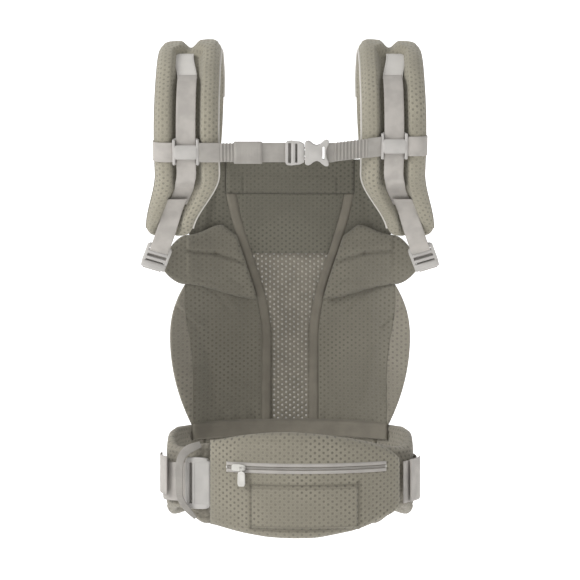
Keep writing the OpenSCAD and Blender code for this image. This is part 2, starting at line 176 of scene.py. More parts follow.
def unit_grid(rows: int, columns: int) -> tuple[Grid, Grid]:
    """Return each place's row and column on a grid, from 0 to 1."""
    return tuple(np.meshgrid(np.linspace(0, 1, rows), np.linspace(0, 1, columns), indexing="ij"))


def bump(x: Any, centre: Any, width: float) -> Any:
    """Return a soft bump of height 1 and the given half width."""
    return np.exp(-((x - centre) / width) ** 2)


def crease(x: Any, z: Any, start: Point, stop: Point, wide: float) -> Any:
    """Return a soft-edged line from start to stop, 1 on the line and 0 away from it."""
    a, d = np.array(start, float), np.array(stop, float) - np.array(start, float)
    t = np.clip(((x - a[0]) * d[0] + (z - a[1]) * d[1]) / (d @ d), 0, 1)
    return np.exp(-((x - a[0] - t * d[0]) ** 2 + (z - a[1] - t * d[1]) ** 2) / wide ** 2)


# ---------------------------------------------------------------- cloth patterns

@dataclass(frozen=True)
class Lattice:
    """The knit's staggered dimples: one column every pitch_u, one dimple every pitch_v."""

    pitch_u: float = 5.5
    pitch_v: float = 7.6
    radius: float = 1.75

    def depth(self, u: np.ndarray, v: np.ndarray) -> np.ndarray:
        """Return 1 in the middle of a dimple and 0 outside it."""
        best = np.full(u.shape, 99.0)
        for shift in (0.0, 0.5):
            du = (np.mod(u / (2 * self.pitch_u) + shift + 0.5, 1.0) - 0.5) * 2 * self.pitch_u
            dv = (np.mod(v / self.pitch_v + shift + 0.5, 1.0) - 0.5) * self.pitch_v
            best = np.minimum(best, np.hypot(du, dv))
        uneven = 0.55 + 0.45 * np.sin(u / 29 + 1.4 * np.sin(v / 21))
        return uneven * (1 - smooth((best - 0.2 * self.radius) / (1.15 * self.radius)))


LATTICE = Lattice()


# ---------------------------------------------------------------- mesh makers

def make_object(name: str, verts: np.ndarray, faces: list, loops_uv: np.ndarray | None = None,
                outward: bool = True) -> Object:
    """Make a mesh object from points in millimetres.

    Args:
        name: The piece's name.
        verts: Points, one row each.
        faces: Vertex numbers of each face.
        loops_uv: The UV of each face corner in millimetres, or None.
        outward: Whether the faces are turned outwards, for a closed piece.

    Returns:
        The new object, linked to the scene.
    """
    mesh = bpy.data.meshes.new(name)
    mesh.from_pydata((np.asarray(verts) * MM).tolist(), [], faces)
    if loops_uv is not None:
        layer = mesh.uv_layers.new(name="cloth")
        layer.data.foreach_set("uv", np.asarray(loops_uv, np.float32).ravel())
    mesh.polygons.foreach_set("use_smooth", [True] * len(mesh.polygons))
    if outward:
        work = bmesh.new()
        work.from_mesh(mesh)
        bmesh.ops.recalc_face_normals(work, faces=work.faces)
        work.to_mesh(mesh)
        work.free()
    mesh.update()
    obj = bpy.data.objects.new(name, mesh)
    bpy.context.scene.collection.objects.link(obj)
    return obj


def ring_object(name: str, rings: Grid, uv: Grid, caps: bool = True) -> Object:
    """Make a closed tube through rings of points.

    Args:
        name: The piece's name.
        rings: Points, rings by places round the ring.
        uv: The same with one more column, for the seam.
        caps: Whether both ends are closed with strips across the ring.

    Returns:
        The new object.
    """
    rows, cols = rings.shape[:2]
    faces, corner_uv = [], []
    for i in range(rows - 1):
        for j in range(cols):
            k = (j + 1) % cols
            faces.append((i * cols + j, i * cols + k, (i + 1) * cols + k, (i + 1) * cols + j))
            corner_uv += [uv[i, j], uv[i, j + 1], uv[i + 1, j + 1], uv[i + 1, j]]
    if caps:
        half = cols // 2
        for i in (0, rows - 1):
            for j in range(half - 1):
                quad = (j, j + 1, cols - 2 - j, cols - 1 - j)
                faces.append(tuple(i * cols + q for q in quad))
                corner_uv += [uv[i, q] for q in quad]
    return make_object(name, rings.reshape(-1, 3), faces, np.array(corner_uv))


def slab_object(name: str, near: Grid, far: Grid, uv: Grid, dimples: float = 0.0) -> Object:
    """Make a soft closed piece from its near and far faces.

    Args:
        name: The piece's name.
        near: Points of the near face, rows by columns.
        far: Points of the far face, in the same order.
        uv: The cloth's place at each point, in millimetres.
        dimples: How deep the knit's dimples are pressed into both faces.

    Returns:
        The new object.
    """
    if dimples:
        depth = dimples * LATTICE.depth(uv[..., 0], uv[..., 1])[..., None]
        for border in (depth, depth.swapaxes(0, 1)):
            border[:2] = border[-2:] = 0
        inward = unit(far - near)
        near = near + inward * depth
        far = far - inward * depth
    rings = np.concatenate([near, far[:, ::-1]], axis=1)
    ring_uv = np.concatenate([uv, uv[:, ::-1], uv[:, :1]], axis=1)
    return ring_object(name, rings, ring_uv)


def pillow(s: np.ndarray, t: np.ndarray, edge_s: float, edge_t: float, least: float = 0.16) -> np.ndarray:
    """Return a cushion's fullness: 1 inside and least at its edges.

    Args:
        s: Place across, from 0 to 1.
        t: Place along, from 0 to 1.
        edge_s: How much of the width each edge takes to reach full height.
        edge_t: The same along the length.
        least: The fullness at the very edge.

    Returns:
        The fullness at each place.
    """
    def side(x: np.ndarray, edge: float) -> np.ndarray:
        d = np.clip(np.minimum(x, 1 - x) / edge, 0, 1)
        return np.sqrt(np.clip(1 - (1 - d) ** 2, 0, 1))
    return least + (1 - least) * side(s, edge_s) * side(t, edge_t)


def tube_object(name: str, line: np.ndarray, radius: float, sides: int = 8) -> Object:
    """Make a round tube, such as piping, along a line of points."""
    d = headings(line)
    ref = np.array([0.31, 0.52, 0.79])
    a = unit(np.cross(d, ref))
    b = np.cross(d, a)
    angles = np.linspace(0, 2 * math.pi, sides, endpoint=False)
    rings = line[:, None] + radius * (a[:, None] * np.cos(angles)[None, :, None]
                                      + b[:, None] * np.sin(angles)[None, :, None])
    run = arc_lengths(line[:, None], 0)[:, :1]
    uv = np.stack([np.repeat(np.linspace(0, 2 * math.pi * radius, sides + 1)[None], len(line), 0),
                   np.repeat(run, sides + 1, 1)], axis=2)
    return ring_object(name, rings, uv)


@dataclass
class Ribbon:
    """A band of webbing swept along a line, with rounded edges.

    Attributes:
        width: Width of the band.
        thick: Thickness of the band.
    """

    width: float = 25.0
    thick: float = 1.6

    def build(self, name: str, line: np.ndarray, across: np.ndarray, out: np.ndarray,
              width: np.ndarray | None = None) -> Object:
        """Make the band.

        Args:
            name: The piece's name.
            line: Points along its middle.
            across: Unit vector across the band at each point.
            out: Unit vector out of its face at each point.
            width: The band's width at each point, or None for the same all along.

        Returns:
            The new object.
        """
        half = np.full(len(line), self.width / 2) if width is None else np.asarray(width) / 2
        places = np.array([-1, -0.93, -0.7, -0.35, 0, 0.35, 0.7, 0.93, 1.0])
        lift = np.array([0.55, 1.0, 0.92, 0.94, 0.95, 0.94, 0.92, 1.0, 0.55]) * self.thick / 2
        front = line[:, None] + across[:, None] * (places[None, :, None] * half[:, None, None]) \
            + out[:, None] * lift[None, :, None]
        back = line[:, None] + across[:, None] * (places[None, :, None] * half[:, None, None]) \
            - out[:, None] * lift[None, :, None]
        run = arc_lengths(line[:, None], 0)
        uv = np.stack([np.repeat((places * self.width / 2)[None], len(line), 0),
                       np.repeat(run, len(places), 1)], axis=2)
        return slab_object(name, front, back, uv)


def stitch_rows(name: str, rows: list[tuple[np.ndarray, np.ndarray]], length: float = 2.6, gap: float = 1.3,
                radius: float = 0.32) -> Object:
    """Make rows of sewn stitches as small sunken threads.

    Args:
        name: The piece's name.
        rows: Each row's points and the cloth's outward direction at each point.
        length: Length of one stitch.
        gap: Space between two stitches.
        radius: Half the thread's thickness.

    Returns:
        One object with all the stitches.
    """
    verts, faces = [], []
    for line, out in rows:
        fine = evenly(np.concatenate([line, out], axis=1), 0.5)
        points, outs = fine[:, :3], unit(fine[:, 3:])
        run = running(points)
        start = gap / 2
        while start + length < run[-1]:
            at = [np.array([np.interp(start + f * length, run,
                                      points[:, k]) for k in range(3)]) for f in (0, 0.5, 1)]
            n = np.array([np.interp(start + length / 2, run, outs[:, k]) for k in range(3)])
            d = at[2] - at[0]
            side = unit(np.cross(d, n)) * radius
            base = len(verts)
            verts += [at[0] - n * 0.3, at[1] + side, at[1] + n * radius * 1.3, at[1] - side, at[1] - n * 0.4,
                      at[2] - n * 0.3]
            for k in range(4):
                faces.append((base, base + 1 + k, base + 1 + (k + 1) % 4))
                faces.append((base + 5, base + 1 + (k + 1) % 4, base + 1 + k))
            start += length + gap
    return make_object(name, np.array(verts), faces)


def add_subdivision(obj: Object, levels: int = 1) -> None:
    """Give a piece a live subdivision surface."""
    mod = obj.modifiers.new("smooth", "SUBSURF")
    mod.levels = levels
    mod.render_levels = levels


def mirrored(obj: Object, name: str) -> Object:
    """Return the right-hand copy of a left-hand piece, with its own mesh."""
    copy = obj.copy()
    copy.data = obj.data.copy()
    copy.name = name
    copy.data.name = name
    copy.data.transform(Matrix.Scale(-1, 4, (1, 0, 0)))
    copy.data.flip_normals()
    bpy.context.scene.collection.objects.link(copy)
    return copy


# ---------------------------------------------------------------- finishes

def scaled(colour: Colour, by: float) -> Colour:
    """Return a colour made lighter or darker, never past white."""
    return tuple(min(1.0, c * by) for c in colour[:3]) + (1.0,)


def linear(red: float, green: float, blue: float) -> Colour:
    """Return a colour given as 0 to 255 on a screen in linear light."""
    def one(c: float) -> float:
        c /= 255
        return c / 12.92 if c <= 0.04045 else ((c + 0.055) / 1.055) ** 2.4
    return one(red), one(green), one(blue), 1.0


class Nodes:
    """A short way to build a material's node tree."""

    def __init__(self, name: str) -> None:
        """Start an empty material with its shader and output."""
        self.material = bpy.data.materials.new(name)
        self.material.use_nodes = True
        self.tree = self.material.node_tree
        self.tree.nodes.clear()
        self.shader = self.tree.nodes.new("ShaderNodeBsdfPrincipled")
        out = self.tree.nodes.new("ShaderNodeOutputMaterial")
        self.tree.links.new(self.shader.outputs[0], out.inputs[0])

    def add(self, kind: str, links: dict[Any, Any] | None = None, **values: Any) -> bpy.types.Node:
        """Add a node, set its properties, and link or set its inputs."""
        node = self.tree.nodes.new("ShaderNode" + kind)
        for key, value in values.items():
            setattr(node, key, value)
        for key, value in (links or {}).items():
            self.feed(node.inputs[key], value)
        return node

    def feed(self, socket: Socket, value: Any) -> None:
        """Link a socket to another node's output, or set its value."""
        if isinstance(value, Socket):
            self.tree.links.new(value, socket)
        else:
            socket.default_value = value

    def math(self, operation: str, a: Any, b: Any = 0.0, c: Any = 0.0) -> Socket:
        """Return the result of one sum."""
        return self.add("Math", {0: a, 1: b, 2: c}, operation=operation).outputs[0]

    def ramp(self, value: Any, low: float, high: float, start: float = 0.0, end: float = 1.0) -> Socket:
        """Return a smooth step of a value between low and high."""
        return self.add("MapRange", {"Value": value, "From Min": low, "From Max": high, "To Min": start,
                                     "To Max": end}, interpolation_type="SMOOTHSTEP").outputs[0]

    def noise(self, vector: Any, scale: float, detail: float = 2.0) -> Socket:
        """Return a noise value."""
        return self.add("TexNoise", {"Vector": vector, "Scale": scale, "Detail": detail}).outputs["Fac"]

    def blend(self, fac: Any, a: Any, b: Any, kind: str = "MIX") -> Socket:
        """Return two colours mixed."""
        node = self.add("Mix", data_type="RGBA", blend_type=kind)
        for socket, value in ((node.inputs[0], fac), (node.inputs[6], a), (node.inputs[7], b)):
            self.feed(socket, value)
        return node.outputs[2]

    def finish(self, colour: Any, height: Any, bump_mm: float, roughness: Any,
               **sockets: float) -> bpy.types.Material:
        """Link the colour, the bump and the shader's other sockets."""
        links = {"Base Color": colour, "Roughness": roughness}
        if height is not None:
            node = self.add("Bump", {"Height": height, "Strength": 1.0, "Distance": bump_mm * MM})
            links["Normal"] = node.outputs[0]
        for key, value in links.items():
            self.feed(self.shader.inputs[key], value)
        for key, value in sockets.items():
            self.shader.inputs[key.replace("_", " ").capitalize().replace(" weight", " Weight")
                               .replace(" roughness", " Roughness")].default_value = value
        return self.material


@dataclass(frozen=True)
class KnitFinish:
    """Air-mesh knit with staggered dimples.

    Attributes:
        name: The material's name.
        colour: The yarn's colour, 0 to 255.
        dark: How much darker the dimples are painted, as shade in their hollows.
        press: How deep the dimples are bumped, in millimetres.
    """

    name: str
    colour: tuple[float, float, float]
    dark: float = 0.42
    press: float = 0.5

    def build(self) -> bpy.types.Material:
        """Return the material."""
        n = Nodes(self.name)
        uv = n.add("UVMap").outputs[0]
        parts = n.add("SeparateXYZ", {0: uv}).outputs
        mottle = n.noise(n.add("TexCoord").outputs["Object"], 16.0, 3.0)
        dimple_shade_strength = n.ramp(mottle, 0.36, 0.64, 0.34, 1.0)
        nearest: Any = None
        for shift in (0.5, 1.0):
            du = n.math("SUBTRACT",
                        n.math("FRACT", n.math("MULTIPLY_ADD", parts[0], 0.5 / LATTICE.pitch_u, shift)), 0.5)
            dv = n.math("SUBTRACT",
                        n.math("FRACT", n.math("MULTIPLY_ADD", parts[1], 1 / LATTICE.pitch_v, shift)), 0.5)
            du = n.math("MULTIPLY", du, 2 * LATTICE.pitch_u)
            dv = n.math("MULTIPLY", dv, LATTICE.pitch_v)
            far = n.math("SQRT", n.math("ADD", n.math("MULTIPLY", du, du), n.math("MULTIPLY", dv, dv)))
            nearest = far if nearest is None else n.math("MINIMUM", nearest, far)
        hole = n.ramp(nearest, 0.15 * LATTICE.radius, 1.45 * LATTICE.radius, 1.0, 0.0)
        yarn = n.add("TexWave", {"Vector": uv, "Scale": 0.42, "Distortion": 1.6, "Detail": 1.0},
                     bands_direction="DIAGONAL").outputs["Fac"]
        fuzz = n.noise(uv, 1.1, 3.0)
        # rim marks a ring round each dimple's edge, lightened below as a painted highlight.
        rim = n.math("MULTIPLY", n.ramp(nearest, 0.9 * LATTICE.radius, 1.35 * LATTICE.radius),
                     n.ramp(nearest, 1.35 * LATTICE.radius, 1.9 * LATTICE.radius, 1.0, 0.0))
        base = linear(*self.colour)
        # deep is the dimples' painted shade: the yarn's colour darkened where shade falls in each hollow.
        deep = scaled(base, 1 - self.dark)
        light = scaled(base, 1.13)
        shade = scaled(base, 0.9)
        tone = n.blend(n.ramp(mottle, 0.3, 0.7), shade, light)
        tone = n.blend(n.math("MULTIPLY", yarn, 0.16), tone, shade)
        tone = n.blend(n.math("MULTIPLY", n.ramp(fuzz, 0.42, 0.62), 0.5), tone, scaled(base, 0.8))
        # Painted highlight: the ring round each dimple is lightened.
        tone = n.blend(n.math("MULTIPLY", rim, 0.30), tone, scaled(base, 1.3))
        # Painted shade: each dimple is darkened towards deep, more strongly where the mottle is high.
        colour = n.blend(n.math("MULTIPLY", hole, dimple_shade_strength), tone, deep)
        height = n.math("SUBTRACT",
                        n.math("ADD", n.math("MULTIPLY", yarn, 0.2), n.math("MULTIPLY", fuzz, 0.5)), hole)
        return n.finish(colour, height, self.press, 0.92, sheen_weight=0.12, sheen_roughness=0.6)


@dataclass(frozen=True)
class PlainClothFinish:
    """Closely woven tape or cloth with a fine plain weave."""

    name: str
    colour: tuple[float, float, float]
    weave: float = 0.9
    press: float = 0.12
    contrast: float = 0.10
    cover: float = 1.0

    def build(self) -> bpy.types.Material:
        """Return the material."""
        n = Nodes(self.name)
        uv = n.add("UVMap").outputs[0]
        parts = n.add("SeparateXYZ", {0: uv}).outputs
        turn = 2 * math.pi / self.weave
        warp = n.math("SINE", n.math("MULTIPLY", parts[0], turn))
        weft = n.math("SINE", n.math("MULTIPLY", parts[1], turn * 0.8))
        cross = n.math("MULTIPLY", warp, weft)
        mottle = n.noise(n.add("TexCoord").outputs["Object"], 45.0, 3.0)
        base = linear(*self.colour)
        light = scaled(base, 1 + self.contrast)
        shade = scaled(base, 1 - self.contrast)
        colour = n.blend(n.ramp(mottle, 0.3, 0.7), shade, light)
        colour = n.blend(n.ramp(cross, -1.0, 1.0, 0.0, 0.22), colour, shade)
        height = n.math("ADD", n.math("MULTIPLY", cross, 0.5), n.math("MULTIPLY", mottle, 0.6))
        return n.finish(colour, height, self.press, 0.86, sheen_weight=0.08, sheen_roughness=0.5,
                        alpha=self.cover)


@dataclass(frozen=True)
class WebbingFinish:
    """Woven webbing: fine ribs across with a soft shine."""

    name: str
    colour: tuple[float, float, float]
    rib: float = 1.15

    def build(self) -> bpy.types.Material:
        """Return the material."""
        n = Nodes(self.name)
        uv = n.add("UVMap").outputs[0]
        parts = n.add("SeparateXYZ", {0: uv}).outputs
        zig = n.math("PINGPONG", n.math("MULTIPLY", parts[0], 1.0), 1.6)
        ribs = n.math("SINE", n.math("MULTIPLY", n.math("ADD", parts[1], zig), 2 * math.pi / self.rib))
        cords = n.math("SINE", n.math("MULTIPLY", parts[0], 2 * math.pi / 0.8))
        mottle = n.noise(n.add("TexCoord").outputs["Object"], 60.0, 3.0)
        base = linear(*self.colour)
        shade = scaled(base, 0.86)
        light = scaled(base, 1.05)
        colour = n.blend(n.ramp(mottle, 0.3, 0.7), shade, light)
        colour = n.blend(n.ramp(ribs, -1.0, 1.0, 0.16, 0.0), colour, shade)
        height = n.math("ADD", n.math("MULTIPLY", ribs, 0.6), n.math("MULTIPLY", cords, 0.3))
        return n.finish(colour, height, 0.14, 0.62, sheen_weight=0.05, sheen_roughness=0.4)


@dataclass(frozen=True)
class PlasticFinish:
    """Moulded plastic with a fine satin grain and softly worn edges."""

    name: str
    colour: tuple[float, float, float]
    roughness: float = 0.38

    def build(self) -> bpy.types.Material:
        """Return the material."""
        n = Nodes(self.name)
        place = n.add("TexCoord").outputs["Object"]
        grain = n.noise(place, 1400.0, 2.0)
        cloud = n.noise(place, 50.0, 3.0)
        base = linear(*self.colour)
        shade = scaled(base, 0.93)
        light = scaled(base, 1.05)
        colour = n.blend(n.ramp(cloud, 0.3, 0.7), shade, light)
        rough = n.ramp(cloud, 0.3, 0.7, self.roughness - 0.05, self.roughness + 0.08)
        return n.finish(colour, grain, 0.025, rough)


class Finish(Enum):
    """Every finish on the carrier."""

    PAD = KnitFinish("pad_knit", (127, 122, 108), 0.55)
    STRAP = KnitFinish("strap_knit", (142, 137, 122), 0.38)
    WING = KnitFinish("wing_knit", (130, 125, 113), 0.36)
    # SIDE is a darker copy of the knit: partly the cloth's own colour, partly painted shade of the folds on
    # the side panels and arm bands.
    SIDE = KnitFinish("side_knit_partly_shaded", (112, 108, 96), 0.36)
    # UPPER is darker still: partly the cloth's own colour, partly painted shade of the panel's shaded
    # inside.
    UPPER = KnitFinish("upper_knit_partly_shaded", (97, 94, 83), 0.34)
    NET = PlainClothFinish("net_yarn", (120, 115, 103), 0.7, 0.1)
    TAPE = PlainClothFinish("binding_tape", (112, 107, 96), 0.9, 0.1)
    LINING = PlainClothFinish("net_lining", (188, 181, 166), 0.7, 0.1, cover=0.62)
    WEB = WebbingFinish("webbing_grey", (171, 166, 160))
    ELASTIC = WebbingFinish("elastic_grey", (149, 145, 139), 1.7)
    LABEL = PlainClothFinish("label_satin", (190, 187, 182), 0.6, 0.05, 0.04)
    PIPING = PlainClothFinish("piping_grey", (196, 192, 186), 0.8, 0.1, 0.05)
    SEAM = PlainClothFinish("seam_shadow", (110, 105, 93), 0.5, 0.05)
    THREAD = PlainClothFinish("thread", (126, 121, 108), 0.5, 0.05)
    LIGHT_THREAD = PlainClothFinish("light_thread", (158, 153, 147), 0.5, 0.05)
    PLASTIC = PlasticFinish("buckle_plastic", (167, 164, 160))
    ZIP_TAPE = PlainClothFinish("zip_tape", (160, 156, 151), 0.7, 0.08, 0.06)
    ZIP_COIL = PlasticFinish("zip_coil", (172, 168, 162), 0.45)
    ZIP_METAL = PlasticFinish("zip_pull", (188, 186, 180), 0.33)


class Wardrobe:
    """Keeps one material for each finish and dresses pieces with them."""

    def __init__(self) -> None:
        """Start with no materials made."""
        self.made: dict[Finish, bpy.types.Material] = {}

    def dress(self, obj: Object, finish: Finish, slot: Slot, body: str, *nodes: str) -> Object:
        """Give a piece its finish and its body, and hide the nodes it stands for.

        Args:
            obj: The piece.
            finish: Its finish.
            slot: The record's material slot it follows; not used.
            body: The body it rides on, or nothing to leave it unattached where it lies between two.
            nodes: The CAD nodes it replaces.

        Returns:
            The piece.
        """
        if finish not in self.made:
            self.made[finish] = finish.value.build()
        obj.data.materials.clear()
        obj.data.materials.append(self.made[finish])
        if body:
            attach(obj, body)
        if nodes:
            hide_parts(*nodes)
        log.info("%s on %s", obj.name, body)
        return obj

    def pair(self, left: Object, finish: Finish, slot: Slot, stem: str = "", body: str = "root",
             fill: float = 0.0, turn: Matrix | None = None) -> None:
        """Dress a left-hand piece and its right-hand copy.

        Args:
            left: The left-hand piece, with "left" in its name.
            finish: The finish of both.
            slot: The record's material slot of both.
            stem: The CAD nodes they replace, without their side, or nothing.
            body: The body they ride on; {side} in it stands for left or right.
            fill: How full both are where they are padded, or 0; not used.
            turn: How the right-hand copy is turned first, or None.
        """
        right = mirrored(left, left.name.replace("left", "right"))
        if turn is not None:
            right.data.transform(turn)
        for obj, side in ((left, "left"), (right, "right")):
            self.dress(obj, finish, slot, body.format(side=side), *([f"{stem}_{side}"] if stem else []))

    def prongs(self, make: Callable[[int, str], Object], stem: str) -> None:
        """Make and dress a buckle's two prongs, the upper one with side 1 and the lower one with -1."""
        for side, word in ((1, "upper"), (-1, "lower")):
            node = f"{stem}_{word}"
            self.dress(make(side, f"{stem}_plastic_{word}"), Finish.PLASTIC, Slot.PLASTIC, node, node)


# ---------------------------------------------------------------- hard pieces, made one by one

class Bench:
    """Works one hard piece at a time with Blender's own tools, in millimetres."""

    @staticmethod
    def only(obj: Object) -> None:
        """Select one object and make it active."""
        bpy.ops.object.select_all(action="DESELECT")
        obj.select_set(True)
        bpy.context.view_layer.objects.active = obj

    @staticmethod
    def block(low: Point, high: Point, round_by: float = 0.0, segments: int = 3) -> Object:
        """Add a box between two corners and round its edges."""
        bpy.ops.object.select_all(action="DESELECT")
        centre = [(a + b) / 2 for a, b in zip(low, high)]
        bpy.ops.mesh.primitive_cube_add(size=1, location=centre)
        obj = bpy.context.active_object
        obj.scale = [b - a for a, b in zip(low, high)]
        bpy.ops.object.transform_apply(location=True, rotation=True, scale=True)
        if round_by:
            Bench.bevel(obj, round_by, segments)
        return obj

    @staticmethod
    def rod(centre: Point, radius: float, length: float, axis: str = "X", sides: int = 24,
            squash: Point = (1, 1, 1)) -> Object:
        """Add a rod along an axis with rounded ends, squashed if asked."""
        bpy.ops.object.select_all(action="DESELECT")
        bpy.ops.mesh.primitive_cylinder_add(vertices=sides, radius=radius, depth=length, location=(0, 0, 0))
        obj = bpy.context.active_object
        Bench.bevel(obj, radius * 0.3, 2)
        turn = {"X": Matrix.Rotation(math.pi / 2, 4, "Y"), "Y": Matrix.Rotation(math.pi / 2, 4, "X"),
                "Z": Matrix.Identity(4)}[axis]
        obj.data.transform(Matrix.Translation(Vector(centre)) @ Matrix.Diagonal((*squash, 1)) @ turn)
        return obj

    @staticmethod
    def plate(outline: Sequence[tuple[float, float]], near: float, far: float, round_by: float = 0.0,
              segments: int = 3) -> Object:
        """Add a flat plate from its outline in X and Z, between two depths in Y."""
        bpy.ops.object.select_all(action="DESELECT")
        bpy.ops.mesh.primitive_circle_add(vertices=len(outline), radius=1, fill_type="NGON",
                                          location=(0, 0, 0))
        obj = bpy.context.active_object
        for vert, (x, z) in zip(obj.data.vertices, outline):
            vert.co = (x, near, z)
        bpy.ops.object.mode_set(mode="EDIT")
        bpy.ops.mesh.select_all(action="SELECT")
        bpy.ops.mesh.extrude_region_move(TRANSFORM_OT_translate={"value": (0, far - near, 0)})
        bpy.ops.mesh.select_all(action="SELECT")
        bpy.ops.mesh.normals_make_consistent(inside=False)
        bpy.ops.object.mode_set(mode="OBJECT")
        if round_by:
            Bench.bevel(obj, round_by, segments)
        return obj

    @staticmethod
    def bevel(obj: Object, width: float, segments: int = 3, angle: float = 30) -> None:
        """Round a piece's sharp edges."""
        Bench.only(obj)
        mod = obj.modifiers.new("round", "BEVEL")
        mod.width = width
        mod.segments = segments
        mod.limit_method = "ANGLE"
        mod.angle_limit = math.radians(angle)
        mod.use_clamp_overlap = True
        bpy.ops.object.modifier_apply(modifier=mod.name)

    @staticmethod
    def cut(obj: Object, *cutters: Object) -> Object:
        """Cut pieces out of a piece and throw the cutters away."""
        return Bench.combine(obj, "DIFFERENCE", cutters)

    @staticmethod
    def weld(obj: Object, *others: Object) -> Object:
        """Weld pieces onto a piece."""
        return Bench.combine(obj, "UNION", others)

    @staticmethod
    def combine(obj: Object, operation: str, others: Sequence[Object]) -> Object:
        """Combine a piece with others one by one, and remove each when it is spent."""
        for other in others:
            Bench.only(obj)
            mod = obj.modifiers.new("combine", "BOOLEAN")
            mod.operation = operation
            mod.solver = "EXACT"
            mod.object = other
            bpy.ops.object.modifier_apply(modifier=mod.name)
            bpy.data.objects.remove(other, do_unlink=True)
        return obj

    @staticmethod
    def place(obj: Object, name: str, matrix: Matrix, round_by: float = 0.0) -> Object:
        """Finish a piece: round it, smooth it, and write its place into its mesh in metres."""
        if round_by:
            Bench.bevel(obj, round_by, 2, 40)
        obj.name = name
        obj.data.name = name
        obj.data.transform(Matrix.Scale(MM, 4) @ matrix)
        Bench.only(obj)
        bpy.ops.object.shade_smooth_by_angle(angle=math.radians(35))
        return obj


def moved(points: np.ndarray, matrix: Matrix) -> np.ndarray:
    """Return points moved by a matrix."""
    m = np.array(matrix)
    return points @ m[:3, :3].T + m[:3, 3]


def turned(vectors: np.ndarray, matrix: Matrix) -> np.ndarray:
    """Return directions turned by a matrix."""
    return vectors @ np.array(matrix)[:3, :3].T


# ---------------------------------------------------------------- body panel

# Each crease has its start and stop as X and Z, its width and its depth.
SIDE_CREASES: tuple[Crease, ...] = (
    ((-160, 228), (-131, 193), 2.4, 3.0), ((-131, 193), (-119, 160), 4.0, 2.0),
    ((-131, 97), (-149, 64), 2.6, 3.2), ((-104, 243), (-84, 214), 3.5, 1.6),
    ((-70, 92), (-100, 72), 5.0, 1.2), ((-146, 150), (-128, 138), 5, 1.0))
ARM_CREASES: tuple[Crease, ...] = (
    ((-139, 299), (-104, 297), 2.0, 5.0), ((-104, 297), (-66, 285), 2.2, 4.6),
    ((-128, 262), (-96, 256), 3.5, 1.8), ((-112, 318), (-80, 316), 4.0, 1.2),
    ((-84, 262), (-66, 250), 3.0, 2.2))


